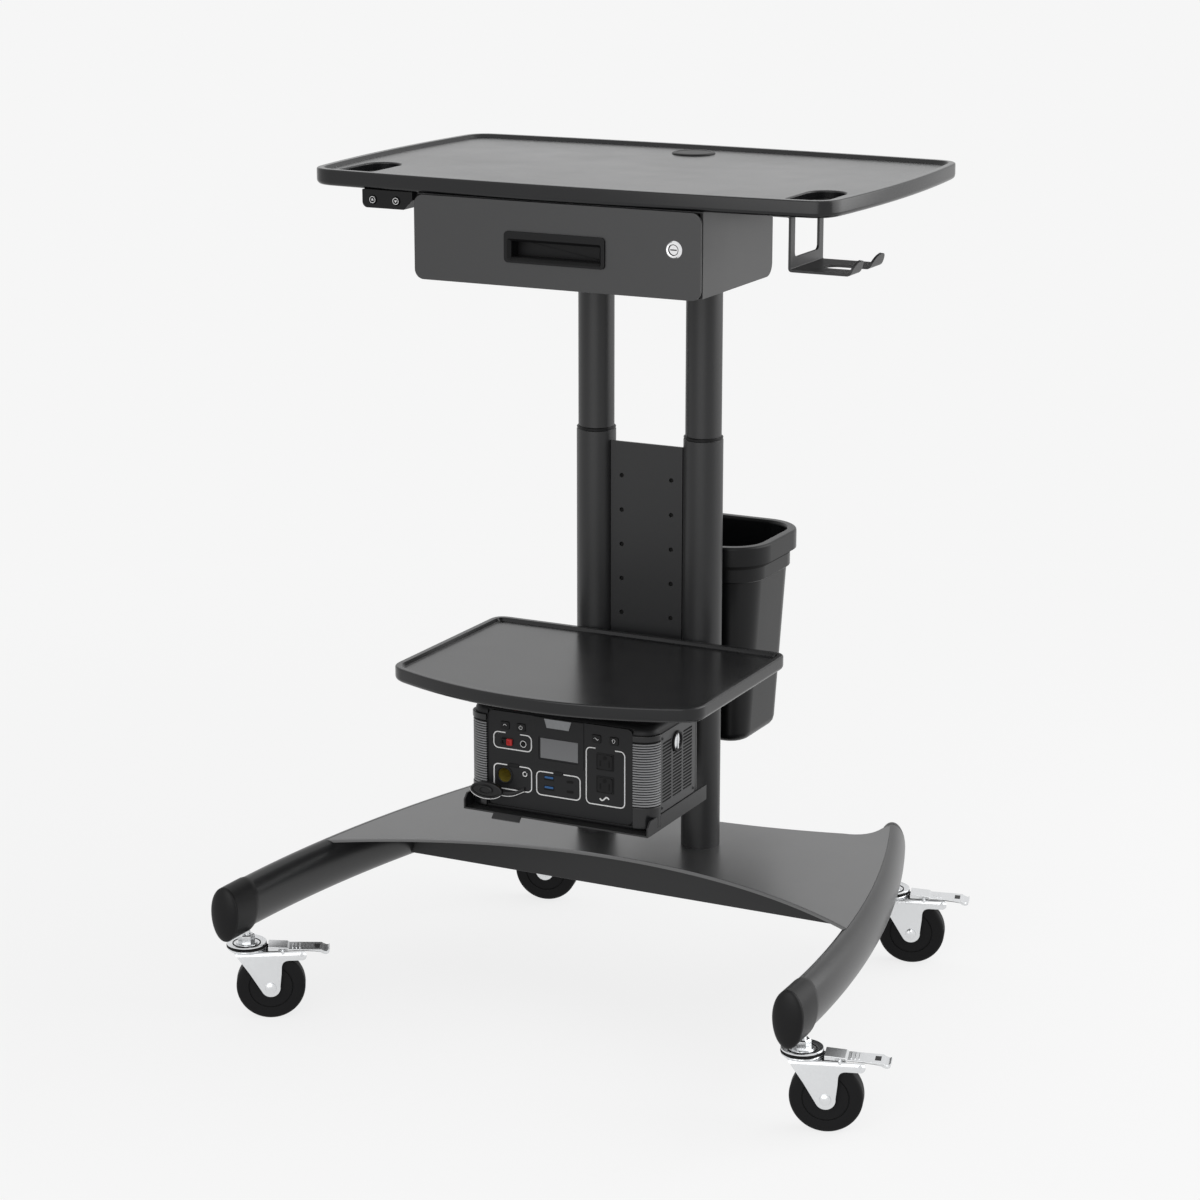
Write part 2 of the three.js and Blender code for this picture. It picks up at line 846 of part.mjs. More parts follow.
function addBase() {
  const clearance = legClearance();
  piece("base_plate", basePlate(clearance), "greyPlate");
  piece("cross_beam", crossBeam(clearance), "blackSteel");
  const parts = { leg: leg(), front: frontCap(), back: backCap() };
  mirrored.forEach(([side, sign]) => {
    piece(`leg_${side}`, parts.leg, "legPaint").scale.x = sign;
    piece(`front_cap_${side}`, parts.front, "blackPlastic").scale.x = sign;
    piece(`back_cap_${side}`, parts.back, "blackPlastic").scale.x = sign;
  });
}

// Columns

function columnPlate() {
  const beside = Math.sqrt(columnRadius ** 2 - backPlateBack ** 2);
  const half = columnX - beside - fitGap;
  const shape = polygon([
    [-half, backPlateBottom],
    [half, backPlateBottom],
    [half, backPlateTop],
    [-half, backPlateTop],
  ]);
  const plate = extrudeY(shape, backPlateFront, backPlateBack);
  const holes = [];
  for (let row = 0; row < backPlateRows; row += 1) {
    [backPlateHoleInset - half, half - backPlateHoleInset].forEach((x) => {
      const z = backPlateHoleTop - row * backPlatePitch;
      const [front, back] = [backPlateFront - overrun, backPlateBack + overrun];
      holes.push(cylinderY(x, z, front, back, backPlateHoleRadius, holeSides));
    });
  }
  return cut(plate, ...holes);
}

function addColumns() {
  mirrored.forEach(([side, sign]) => {
    const x = sign * columnX;
    const bore = columnRadius - columnWall;
    const outer = tube(x, 0, plateTop, columnTop, columnRadius, bore);
    piece(`outer_column_${side}`, outer, "blackSteel");
    const ringBore = innerRadius + fitGap;
    const collar = tube(x, 0, columnTop, columnTop + collarHeight, columnRadius, ringBore);
    piece(`column_collar_${side}`, collar, "blackPlastic");
    const inner = tube(x, 0, innerBottom, innerTop, innerRadius, innerRadius - innerWall);
    piece(`inner_column_${side}`, inner, "blackSteel");
  });
  piece("column_plate", columnPlate(), "greyPlate");
}

// Worktop and what hangs under it

function board(outline, top, thick, rim, slope, drop, edge, under) {
  const rings = [
    ring(inset(outline, under), top - thick),
    ring(outline, top - thick + under),
    ring(outline, top - edge),
    ring(inset(outline, edge / 2), top),
    ring(inset(outline, rim), top),
    ring(inset(outline, rim + slope), top - drop),
  ];
  return loft(rings);
}

function deskOutline() {
  const corners = [
    new THREE.Vector2(-deskFrontX, deskFrontY),
    new THREE.Vector2(deskFrontX, deskFrontY),
    new THREE.Vector2(deskBackX, deskBackY),
    new THREE.Vector2(-deskBackX, deskBackY),
  ];
  const bulges = [deskFrontBulge, deskSideBulge, deskBackBulge, deskSideBulge];
  return bulgedOutline(corners, bulges, deskCorner, 6, 5);
}

function recessTool(x) {
  const shape = new THREE.Shape();
  shape.absarc(x, recessY + recessHalfStraight, recessRadius, 0, Math.PI);
  shape.absarc(x, recessY - recessHalfStraight, recessRadius, Math.PI, 2 * Math.PI);
  return extrudeZ(shape, panelZ - recessDepth, deskTop + overrun);
}

function worktop() {
  const slab = board(
    deskOutline(),
    deskTop,
    deskThick,
    deskRim,
    deskRimSlope,
    deskPanelDrop,
    deskEdgeRound,
    deskUnderRound,
  );
  const hole = cylinder(0, grommetY, deskUnder - overrun, deskTop + overrun, grommetHole);
  return cut(slab, hole, recessTool(-recessX), recessTool(recessX));
}

function grommet() {
  const lid = cylinder(0, grommetY, panelZ, panelZ + grommetRise, grommetCap, roundSides);
  const sleeve = cylinder(0, grommetY, panelZ - grommetSleeve, panelZ, grommetHole - fitGap);
  return join(lid, sleeve);
}

// A trough of sheet steel, open towards the board that lies on it.
function trough(x0, x1, y0, y1, bottom) {
  const wall = frameWall;
  const hollow = box(x0 + wall, x1 - wall, y0 + wall, y1 - wall, bottom + wall, deskUnder + overrun);
  return [box(x0, x1, y0, y1, bottom, deskUnder), hollow];
}

function topFrame() {
  const [half, depth] = [crossbarHalf, crossbarHalfDepth];
  const armBottom = deskUnder - armHeight;
  const troughs = [
    trough(-half, half, -depth, depth, innerTop),
    trough(-half, armWidth - half, armFrontY, armBackY, armBottom),
    trough(half - armWidth, half, armFrontY, armBackY, armBottom),
  ];
  return cut(join(...troughs.map(([skin]) => skin)), ...troughs.map(([, hollow]) => hollow));
}

function motorHousing() {
  const bottom = deskUnder - motorHeight;
  const shape = roundedRect(-motorHalf, bottom, motorHalf, deskUnder, motorRound);
  return extrudeY(shape, crossbarHalfDepth + fitGap, crossbarHalfDepth + fitGap + motorDepth);
}

const switchButtonZ = deskUnder - switchButtonDrop;

function switchBody() {
  const bottom = deskUnder - switchHeight;
  const shape = new THREE.Shape();
  shape.moveTo(switchLeft, deskUnder);
  shape.lineTo(switchLeft, bottom + switchRound);
  shape.quadraticCurveTo(switchLeft, bottom, switchLeft + switchRound, bottom);
  shape.lineTo(switchRight - switchBevel, bottom);
  shape.lineTo(switchRight, bottom + switchBevel);
  shape.lineTo(switchRight, deskUnder);
  const block = extrudeY(shape, switchFront, switchFront + switchDepth);
  const pockets = [switchButtonUpX, switchButtonDownX].map((x) => {
    const floor = switchFront - switchButtonProud + switchButtonLength + switchButtonTravel + fitGap;
    const radius = switchButtonRadius + fitGap;
    return cylinderY(x, switchButtonZ, switchFront - overrun, floor, radius);
  });
  return cut(block, ...pockets);
}

function switchButton(x) {
  const face = switchFront - switchButtonProud;
  return cylinderY(x, switchButtonZ, face, face + switchButtonLength, switchButtonRadius);
}

function hook() {
  const level = deskUnder - hookThick / 2;
  const bendX = hookTipX - hookCurl;
  const curl = new THREE.QuadraticBezierCurve(
    new THREE.Vector2(bendX, hookFoldZ),
    new THREE.Vector2(hookTipX - hookThick, hookFoldZ),
    new THREE.Vector2(hookTipX - hookThick / 2, hookTipZ),
  );
  const line = [
    [hookX - hookFlange, level],
    [hookX, level],
    [hookX, hookFoldZ],
    ...curl.getPoints(5).map((p) => [p.x, p.y]),
  ];
  const bent = extrudeY(ribbon(line, hookThick), hookFront, hookBack);
  const window = box(
    hookX - hookThick,
    hookX + overrun,
    hookFront + hookStrip,
    hookBack - hookStrip,
    hookFoldZ + hookSill,
    deskUnder - hookThick,
  );
  const beyond = hookTipX + overrun;
  const [slotLow, slotHigh] = [hookFoldZ - overrun, hookTipZ + overrun];
  const slot = box(hookSlotX, beyond, hookSlotFront, hookSlotBack, slotLow, slotHigh);
  return cut(bent, window, slot);
}

// Drawer

function drawerCase() {
  const shape = new THREE.Shape();
  shape.moveTo(caseFront, caseBottom);
  shape.lineTo(caseBack - caseRound, caseBottom);
  shape.quadraticCurveTo(caseBack, caseBottom, caseBack, caseBottom + caseRound);
  shape.lineTo(caseBack, deskUnder);
  shape.lineTo(caseFront, deskUnder);
  const inside = new THREE.Shape();
  const back = caseBack - caseWall;
  const bottom = caseBottom + caseWall;
  const round = caseRound - caseWall;
  inside.moveTo(caseFront - overrun, bottom);
  inside.lineTo(back - round, bottom);
  inside.quadraticCurveTo(back, bottom, back, bottom + round);
  inside.lineTo(back, deskUnder - caseWall);
  inside.lineTo(caseFront - overrun, deskUnder - caseWall);
  const half = caseHalf - caseWall;
  const shell = cut(extrudeX(shape, -caseHalf, caseHalf), extrudeX(inside, -half, half));
  const keeperY = caseFront + keeperSetback;
  const keeper = box(
    lockX - keeperHalf,
    lockX + keeperHalf,
    keeperY,
    keeperY + keeperThick,
    deskUnder - caseWall - keeperDrop,
    deskUnder - caseWall / 2,
  );
  return join(shell, keeper);
}

function drawerFront() {
  const shape = roundedRect(-frontHalf, frontBottom, frontHalf, frontTop, frontRound);
  const plate = extrudeY(shape, frontFace, frontBack);
  const half = pullMouthHalf + pullWall + fitGap;
  const mouth = box(
    -half,
    half,
    frontFace - overrun,
    frontBack + overrun,
    pullMouthBottom - pullWall - fitGap,
    pullMouthTop + pullWall + fitGap,
  );
  const hole = cylinderY(lockX, lockZ, frontFace - overrun, frontBack + overrun, lockRadius + turnGap);
  return cut(plate, mouth, hole);
}

function drawerPull() {
  const bezelShape = roundedRect(-pullHalf, pullBottom, pullHalf, pullTop, pullRound);
  const bezel = extrudeY(bezelShape, frontFace - pullProud, frontFace);
  const half = pullMouthHalf + pullWall;
  const low = pullMouthBottom - pullWall;
  const pocketBack = frontFace + pullDepth;
  const pocket = box(-half, half, frontFace, pocketBack + pullWall, low, pullMouthTop + pullWall);
  const mouth = box(
    -pullMouthHalf,
    pullMouthHalf,
    frontFace - pullProud - overrun,
    pocketBack,
    pullMouthBottom,
    pullMouthTop,
  );
  return cut(join(bezel, pocket), mouth);
}

function drawerBox() {
  const outside = box(-boxHalf, boxHalf, frontBack, boxBack, boxBottom, boxTop);
  const inside = box(
    boxWall - boxHalf,
    boxHalf - boxWall,
    frontBack - overrun,
    boxBack - boxWall,
    boxBottom + boxWall,
    boxTop + overrun,
  );
  const tongues = mirrored.map(([, sign]) => {
    const reach = boxHalf - boxWall / 2 + tongueReach;
    const [x0, x1] = sign > 0 ? [boxHalf - boxWall / 2, reach] : [-reach, boxWall / 2 - boxHalf];
    return box(x0, x1, railFront, boxBack, railZ - tongueHalfHeight, tongueTop);
  });
  return join(cut(outside, inside), ...tongues);
}

// A channel on the case's wall that the drawer's tongue runs in.
function drawerRail(sign) {
  const wall = caseHalf - caseWall;
  const channel = box(
    wall - railDepth,
    wall,
    railFront,
    railBack,
    railZ - railHalfHeight,
    railZ + railHalfHeight,
  );
  const groove = box(
    wall - railDepth - overrun,
    boxHalf - boxWall / 2 + tongueReach + fitGap,
    railFront - overrun,
    railBack + overrun,
    railZ - tongueHalfHeight - fitGap,
    tongueTop + fitGap,
  );
  const rail = cut(channel, groove);
  return sign > 0 ? rail : flipX(rail);
}

function lockBarrel() {
  const flange = cylinderY(lockX, lockZ, frontFace - lockProud, frontFace, lockFlange);
  const bodyBack = frontFace + lockBody;
  const barrel = cylinderY(lockX, lockZ, frontFace, bodyBack, lockRadius);
  const cam = box(
    lockX - lockCamLength,
    lockX + lockCamHalf,
    bodyBack - lockCamThick,
    bodyBack,
    lockZ - lockCamHalf,
    lockZ + lockCamHalf,
  );
  return join(flange, barrel, cam);
}

function addTop() {
  piece("worktop", worktop(), "deskBoard");
  piece("grommet_cap", grommet(), "blackPlastic");
  piece("top_frame", topFrame(), "blackSteel");
  piece("motor_housing", motorHousing(), "blackPlastic");
  piece("height_switch", switchBody(), "blackPlastic");
  piece("raise_button", switchButton(switchButtonUpX), "blackPlastic");
  piece("lower_button", switchButton(switchButtonDownX), "blackPlastic");
  piece("accessory_hook", hook(), "blackSteel");
  piece("drawer_case", drawerCase(), "blackSteel");
  piece("drawer_box", drawerBox(), "blackSteel");
  piece("drawer_front", drawerFront(), "blackSteel");
  piece("drawer_pull", drawerPull(), "blackPlastic");
  piece("drawer_lock", lockBarrel(), "zinc");
  mirrored.forEach(([side, sign]) => piece(`drawer_rail_${side}`, drawerRail(sign), "zinc"));
}

// Lower shelf, tray and power station

function lowerShelf() {
  const corners = [
    new THREE.Vector2(-shelfFrontX, shelfFrontY),
    new THREE.Vector2(shelfFrontX, shelfFrontY),
    new THREE.Vector2(shelfBackX, shelfBackY),
    new THREE.Vector2(-shelfBackX, shelfBackY),
  ];
  const outline = bulgedOutline(corners, [shelfBulge, 0, 0, 0], shelfCorner, 6, 4);
  return board(
    outline,
    shelfTop,
    shelfThick,
    shelfRim,
    shelfRimSlope,
    shelfPanelDrop,
    shelfEdgeRound,
    shelfUnderRound,
  );
}

function shelfBracket() {
  const low = shelfUnder - bracketDrop;
  const clearY = -columnRadius - bracketThick;
  const front = backPlateFront - bracketReach;
  const plan = polygon([
    [-bracketHalf, front],
    [bracketHalf, front],
    [bracketHalf, clearY],
    [bracketFlangeHalf, clearY],
    [bracketFlangeHalf, backPlateFront],
    [-bracketFlangeHalf, backPlateFront],
    [-bracketFlangeHalf, clearY],
    [-bracketHalf, clearY],
  ]);
  const level = extrudeZ(plan, shelfUnder - bracketThick, shelfUnder);
  const flange = box(
    -bracketFlangeHalf,
    bracketFlangeHalf,
    backPlateFront - bracketThick,
    backPlateFront,
    low,
    shelfUnder,
  );
  const rib = polygon([
    [backPlateFront, low],
    [backPlateFront, shelfUnder],
    [backPlateFront - bracketRibReach, shelfUnder],
  ]);
  const ribs = [-bracketRibX - bracketThick, bracketRibX].map((x) =>
    extrudeX(rib, x, x + bracketThick),
  );
  return join(level, flange, ...ribs);
}

function trayBody() {
  const lipTop = trayBottom + trayLip;
  const floor = box(-trayHalf, trayHalf, trayFront, trayBack, trayBottom, trayFloor);
  const side = polygon([
    [trayFront, trayBottom],
    [trayBack, trayBottom],
    [trayBack, lipTop],
    [trayFront + trayBevel, lipTop],
    [trayFront, lipTop - trayBevel],
  ]);
  const walls = [-trayHalf, trayHalf - trayThick].map((x) => extrudeX(side, x, x + trayThick));
  const neck = box(-trayNeckHalf, trayNeckHalf, trayBack, backPlateFront, trayBottom, trayFloor);
  const flange = box(
    -trayNeckHalf,
    trayNeckHalf,
    backPlateFront - trayThick,
    backPlateFront,
    trayBottom,
    trayBottom + trayFlange,
  );
  const rib = polygon([
    [backPlateFront, trayBottom - trayRib],
    [backPlateFront, trayBottom + trayThick / 2],
    [backPlateFront - trayRibReach, trayBottom + trayThick / 2],
    [backPlateFront - trayRibReach, trayBottom - trayThick],
  ]);
  const ribs = [-trayNeckHalf, trayNeckHalf - trayThick].map((x) => extrudeX(rib, x, x + trayThick));
  const tab = box(
    trayTabLeft,
    trayTabRight,
    trayFront,
    trayFront + trayThick,
    trayBottom - trayTabDrop,
    trayBottom,
  );
  return join(floor, ...walls, neck, flange, ...ribs, tab);
}

function stationOutline() {
  return [
    [-stationFaceHalf, stationFront],
    [stationFaceHalf, stationFront],
    [stationHalf, stationFront + stationBevel],
    [stationHalf, stationBack - stationBevel],
    [stationFaceHalf, stationBack],
    [-stationFaceHalf, stationBack],
    [-stationHalf, stationBack - stationBevel],
    [-stationHalf, stationFront + stationBevel],
  ].map(([x, y]) => new THREE.Vector2(x, y));
}

function stationShell() {
  const outline = stationOutline();
  const body = loft([
    ring(inset(outline, stationFoot), trayFloor),
    ring(outline, trayFloor + stationFoot),
    ring(outline, stationTop - stationShoulder),
    ring(inset(outline, stationShoulderInset), stationTop),
  ]);
  const gripTop = stationTop + handleRise;
  const grip = box(-handleHalf, handleHalf, handleFront, handleBack, stationTop - overrun, gripTop);
  const gap = box(
    handlePost - handleHalf,
    handleHalf - handlePost,
    handleFront - overrun,
    handleBack + overrun,
    stationTop,
    gripTop - handleBar,
  );
  const seat = box(
    -faceHalf - fitGap,
    faceHalf + fitGap,
    stationFront - overrun,
    faceBack,
    faceBottom - fitGap,
    faceTop + fitGap,
  );
  const bore = cylinderY(socketX, socketZ, stationFront, faceBack + socketDepth, socketRadius);
  return cut(join(body, cut(grip, gap)), seat, bore);
}

const keyPlaces = {
  start_key: startKeyX,
  power_key: powerKeyX,
  output_key: outputKeyX,
  lamp_key: lampKeyX,
};

function keyShape(x, grow) {
  const [halfX, halfZ] = [keyHalfWidth + grow, keyHalfHeight + grow];
  return roundedRect(x - halfX, keyZ - halfZ, x + halfX, keyZ + halfZ, keyRound);
}

function stationFace() {
  const outline = roundedRect(-faceHalf, faceBottom, faceHalf, faceTop, faceRound);
  const panel = extrudeY(outline, stationFront, faceBack);
  const [front, back] = [stationFront - overrun, faceBack + overrun];
  const window = box(screenLeft, screenRight, front, back, screenBottom, screenTop);
  const holes = Object.values(keyPlaces).map((x) => extrudeY(keyShape(x, fitGap), front, back));
  const socket = cylinderY(socketX, socketZ, front, back, socketRadius);
  return cut(panel, window, socket, ...holes);
}

function screenPane() {
  return box(
    screenLeft + fitGap,
    screenRight - fitGap,
    stationFront + screenSink,
    faceBack,
    screenBottom + fitGap,
    screenTop - fitGap,
  );
}

function sideLamp() {
  const [x, face] = [stationHalf, stationHalf + lampProud];
  const disc = cylinderX(lampY, lampZ, x, face, lampRadius);
  const well = cylinderX(lampY, lampZ, x + lampProud / 2, face + overrun, lampRadius - lampBezel);
  return cut(disc, well);
}

// The cover's pad hangs level with the tray's side flanges, on a strap that runs up to the station's face.
function socketCover() {
  const z = trayBottom + trayLip + coverLift + coverHalfHeight;
  const pad = extrudeY(
    roundedRect(
      coverX - coverHalf,
      z - coverHalfHeight,
      coverX + coverHalf,
      z + coverHalfHeight,
      coverHalfHeight,
    ),
    coverFront,
    coverFront + coverThick,
  );
  const route = new THREE.CatmullRomCurve3([
    new THREE.Vector3(coverX + coverHalf / 2, coverFront + coverThick / 2, z),
    new THREE.Vector3(coverX + coverHalf + strapWidth, coverFront + coverThick / 2, z - strapSag),
    new THREE.Vector3(strapAnchorX, stationFront - strapWidth, strapAnchorZ - strapThick / 2),
    new THREE.Vector3(strapAnchorX, stationFront - 2 * fitGap, strapAnchorZ),
  ]);
  const section = roundedRect(
    -strapThick / 2,
    -strapWidth / 2,
    strapThick / 2,
    strapWidth / 2,
    strapRound,
  );
  const options = { steps: 8, bevelEnabled: false, extrudePath: route, curveSegments: 1 };
  return join(pad, solid(new THREE.ExtrudeGeometry(section, options)));
}

function addShelves() {
  piece("lower_shelf", lowerShelf(), "deskBoard");
  piece("shelf_bracket", shelfBracket(), "blackSteel");
  piece("station_tray", trayBody(), "blackSteel");
  piece("station_shell", stationShell(), "stationPlastic");
  piece("station_face", stationFace(), "stationPlastic");
  piece("station_screen", screenPane(), "screenGlass");
  Object.entries(keyPlaces).forEach(([name, x]) => {
    const face = stationFront - keyProud;
    piece(name, extrudeY(keyShape(x, 0), face, face + keyLength), "blackPlastic");
  });
  piece("side_lamp", sideLamp(), "blackPlastic");
  piece("socket_cover", socketCover(), "blackPlastic");
}

// Waste bin

function binRing(offset, z) {
  const radius = binCorner - offset;
  const [halfX, halfY] = [binHalfX - offset, binHalfY - offset];
  const steps = 4;
  const corners = [
    [1, -1],
    [1, 1],
    [-1, 1],
    [-1, -1],
  ];
  const outline = corners.flatMap(([sx, sy], i) =>
    Array.from({ length: steps + 1 }, (_, k) => {
      const angle = -Math.PI / 2 + (Math.PI / 2) * (i + k / steps);
      const x = sx * (halfX - radius) + radius * Math.cos(angle);
      return new THREE.Vector2(x, binY + sy * (halfY - radius) + radius * Math.sin(angle));
    }),
  );
  return ring(outline, z);
}

function wasteBin() {
  const inside = binFootInset + binWall;
  const rimInner = binBodyInset + binWall;
  const skirtBottom = binTop - binRimSkirt;
  const rings = [
    binRing(binFootInset + binFootRound / 2, binBottom),
    binRing(binFootInset, binBottom + binFootRound),
    binRing(binBodyInset, binBandBottom),
    binRing(binBandInset, binBandBottom),
    binRing(binBandInset, binTop - binRimRound),
    binRing(binWall, binTop - binRimRound),
    binRing(binWall, skirtBottom),
    binRing(0, skirtBottom),
    binRing(0, binTop - binRimRound),
    binRing(binRimRound, binTop),
    binRing(rimInner, binTop),
    binRing(rimInner, binBandBottom),
    binRing(inside, binBottom + binFootRound + binWall),
    binRing(inside + binFootRound / 2, binBottom + binWall),
  ];
  return loft(rings);
}

// A bent strip: down the back of the perforated plate, out between the columns, up under the rim.
function binHanger() {
  const rimFront = binY - binHalfY;
  const lipY = rimFront + binWall + fitGap + hangerThick / 2;
  const level = binTop - binRimSkirt - hangerThick;
  const backY = backPlateBack + hangerThick / 2;
  const line = [
    [backY, level - hangerDrop],
    [backY, level],
    [lipY, level],
    [lipY, level + hangerLip + hangerThick],
  ];
  return extrudeX(ribbon(line, hangerThick), -hangerHalf, hangerHalf);
}

function addBin() {
  piece("waste_bin", wasteBin(), "binPlastic");
  piece("bin_hanger", binHanger(), "blackSteel");
}

// Casters, each in its own frame: the swivel axis is Z and the wheel trails along +X

function casterStem() {
  const pinHead = bridgeZ - turnGap;
  const well = dishTop - dishLip;
  const profile = [
    [0, pinHead - kingpinHeadHeight],
    [kingpinHead, pinHead - kingpinHeadHeight],
    [kingpinHead, pinHead],
    [kingpinRadius, pinHead],
    [kingpinRadius, dishBottom],
    [dishRadius - dishLip, dishBottom],
    [dishRadius, dishTop],
    [dishWell, well],
    [studRadius, well],
    [studRadius, studTop],
    [0, studTop],
  ];
  return join(turned(profile, boltSides), cylinder(0, 0, well, well + nutHeight, nutRadius, nutSides));
}

function forkSide(y) {
  const shape = new THREE.Shape();
  const shoulder = new THREE.Vector2(-forkNeck - casterTrail, bridgeZ - wheelRadius);
  const tangent = shoulder.angle() + Math.acos(forkEye / shoulder.length());
  const throatTop = forkTop - forkArmDrop;
  const throat = forkThroat;
  shape.moveTo(-forkNeck, forkTop);
  shape.lineTo(-forkNeck, bridgeZ);
  shape.absarc(casterTrail, wheelRadius, forkEye, tangent, 2 * Math.PI);
  shape.lineTo(forkThroatX, throatTop - throat);
  shape.quadraticCurveTo(forkThroatX, throatTop, forkThroatX + throat, throatTop);
  shape.lineTo(forkArm, throatTop + forkEndRise);
  shape.lineTo(forkArm, forkTop - forkEndDrop);
  shape.lineTo(forkArm - throat, forkTop);
  return extrudeY(shape, y, y + forkSheet);
}

function casterFork() {
  const outside = forkInside + forkSheet;
  const head = turned([
    [0, bridgeZ],
    [headWaist, bridgeZ],
    [headRadius, bridgeZ + headRise / 2],
    [headRadius, headTop],
    [0, headTop],
  ]);
  const bridge = box(-forkNeck, leverStart - forkSheet, -outside, outside, bridgeZ, bridgeZ + forkSheet);
  const boreRadius = kingpinRadius + turnGap;
  const kingpinBore = cylinder(0, 0, bridgeZ - overrun, headTop + overrun, boreRadius, boltSides);
  const bolt = cylinderY(casterTrail, wheelRadius, -outside, outside, axleRadius, boltSides);
  const ends = [-outside - boltHeadHeight, outside].map((y) =>
    cylinderY(casterTrail, wheelRadius, y, y + boltHeadHeight, boltHead, nutSides),
  );
  const pin = cylinderY(leverPivotX, leverPivotZ, -outside, outside, leverPinRadius, boltSides);
  const sides = [-outside, forkInside].map(forkSide);
  return join(cut(join(head, bridge), kingpinBore), ...sides, bolt, ...ends, pin);
}

function casterWheel() {
  const flatten = Math.cos(Math.PI / wheelSides);
  const bore = axleRadius + 2 * turnGap;
  const tread = wheelRadius / flatten;
  const face = wheelHalf;
  const half = [
    [bore, wheelBoss],
    [bore + wheelShoulder, wheelBoss],
    [bore + wheelShoulder, face],
    [tread - wheelShoulder, face],
    [tread, wheelTreadHalf],
  ];
  const profile = [...half, ...half.map(([r, y]) => [r, -y]).reverse(), half[0]];
  const points = profile.map(([r, y]) => new THREE.Vector2(r, y)).reverse();
  const halfStep = Math.PI / wheelSides;
  const geometry = new THREE.LatheGeometry(points, wheelSides, halfStep, 2 * Math.PI);
  return solid(geometry.translate(casterTrail, 0, wheelRadius));
}

function brakeLever() {
  const start = bridgeZ + leverStartRise;
  const end = bridgeZ + leverEndRise;
  const slope = (end - start) / (leverEnd - leverStart);
  const level = (x) => start + slope * (x - leverStart);
  const line = [
    [leverStart, start],
    [leverStepX - leverStep, level(leverStepX)],
    [leverStepX, level(leverStepX) - leverStep],
    [leverEnd - 2 * leverCurl, level(leverEnd)],
    [leverEnd, end - leverCurl],
    [leverEnd + leverCurl, end - leverCurl / 2],
  ];
  const plate = extrudeY(ribbon(line, leverSheet), -leverHalf, leverHalf);
  const earTop = level(leverPivotX);
  const earHole = leverPinRadius + turnGap;
  const ears = [-leverHalf, leverHalf - leverEarThick].map((y) =>
    box(
      leverPivotX - leverEarHalf,
      leverPivotX + leverEarHalf,
      y,
      y + leverEarThick,
      leverPivotZ - leverPinRadius - leverSheet,
      earTop,
    ),
  );
  const padFloor =
    wheelRadius + Math.sqrt(wheelRadius ** 2 - (leverPadX - casterTrail - leverPadHalf) ** 2);
  const pad = box(
    leverPadX - leverPadHalf,
    leverPadX + leverPadHalf,
    -leverPadHalfWidth,
    leverPadHalfWidth,
    padFloor + leverPadClear,
    level(leverPadX) - leverStep,
  );
  const hole = cylinderY(leverPivotX, leverPivotZ, -2 * leverHalf, 2 * leverHalf, earHole, boltSides);
  return cut(join(plate, ...ears, pad), hole);
}

function addCasters() {
  const parts = {
    stem: casterStem(),
    fork: casterFork(),
    wheel: casterWheel(),
    lever: brakeLever(),
  };
  Object.entries(swivels).forEach(([place, degrees]) => {
    const caster = new THREE.Group();
    const y = place.startsWith("front") ? frontCasterY : backCasterY;
    const sign = place.endsWith("right") ? 1 : -1;
    caster.position.set(sign * legX(y), y, 0);
    caster.rotation.z = THREE.MathUtils.degToRad(degrees);
    workstation.add(caster);
    piece(`caster_stem_${place}`, parts.stem, "zinc", caster);
    piece(`caster_fork_${place}`, parts.fork, "zinc", caster);
    piece(`caster_wheel_${place}`, parts.wheel, "tyre", caster);
    piece(`brake_lever_${place}`, parts.lever, "zinc", caster);
  });
}

addBase();
addColumns();
addTop();
addShelves();
addBin();
addCasters();

// The origin is the middle of the footprint, on the floor.
const extent = new THREE.Box3().setFromObject(workstation, true);
workstation.position.set(-(extent.min.x + extent.max.x) / 2, -(extent.min.y + extent.max.y) / 2, 0);

export default workstation;
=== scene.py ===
import json
import math

import bmesh
import bpy
from mathutils import Matrix, Vector


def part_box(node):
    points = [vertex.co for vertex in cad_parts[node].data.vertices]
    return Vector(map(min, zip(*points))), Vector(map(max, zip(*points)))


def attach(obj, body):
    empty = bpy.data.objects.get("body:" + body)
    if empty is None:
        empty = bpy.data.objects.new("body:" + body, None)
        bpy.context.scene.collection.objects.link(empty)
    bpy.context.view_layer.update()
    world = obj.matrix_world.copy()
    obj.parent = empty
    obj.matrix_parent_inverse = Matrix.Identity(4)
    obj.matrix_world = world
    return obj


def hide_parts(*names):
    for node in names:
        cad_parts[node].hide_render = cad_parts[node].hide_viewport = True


# A mobile computer workstation: sit-stand worktop on two lifting columns, drawer, lower shelf,
# power station on a tray, waste bin, and a wide base on four braked casters.
# Metres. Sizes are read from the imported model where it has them. Pieces are drawn with the middle of
# the two columns as x = y = 0 and the floor as z = 0, and put in the model's place at the end.

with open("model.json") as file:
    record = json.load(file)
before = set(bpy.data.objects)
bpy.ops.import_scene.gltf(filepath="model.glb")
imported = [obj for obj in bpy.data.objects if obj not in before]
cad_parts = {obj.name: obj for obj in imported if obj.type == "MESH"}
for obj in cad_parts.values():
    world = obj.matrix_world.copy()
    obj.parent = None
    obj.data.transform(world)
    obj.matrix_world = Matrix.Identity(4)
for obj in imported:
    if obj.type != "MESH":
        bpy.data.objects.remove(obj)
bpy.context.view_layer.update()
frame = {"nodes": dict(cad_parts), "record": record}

# Camera, fitted to the photograph
PHOTO_PIXELS = 1200
LENS_PIXELS = 3213.5
SENSOR = 36.0
CAMERA_PLACE = (1.6768, -3.4617, 1.5432)
CAMERA_TURN = 26.637
CAMERA_TILT = 14.799
CAMERA_REACH = 100.0

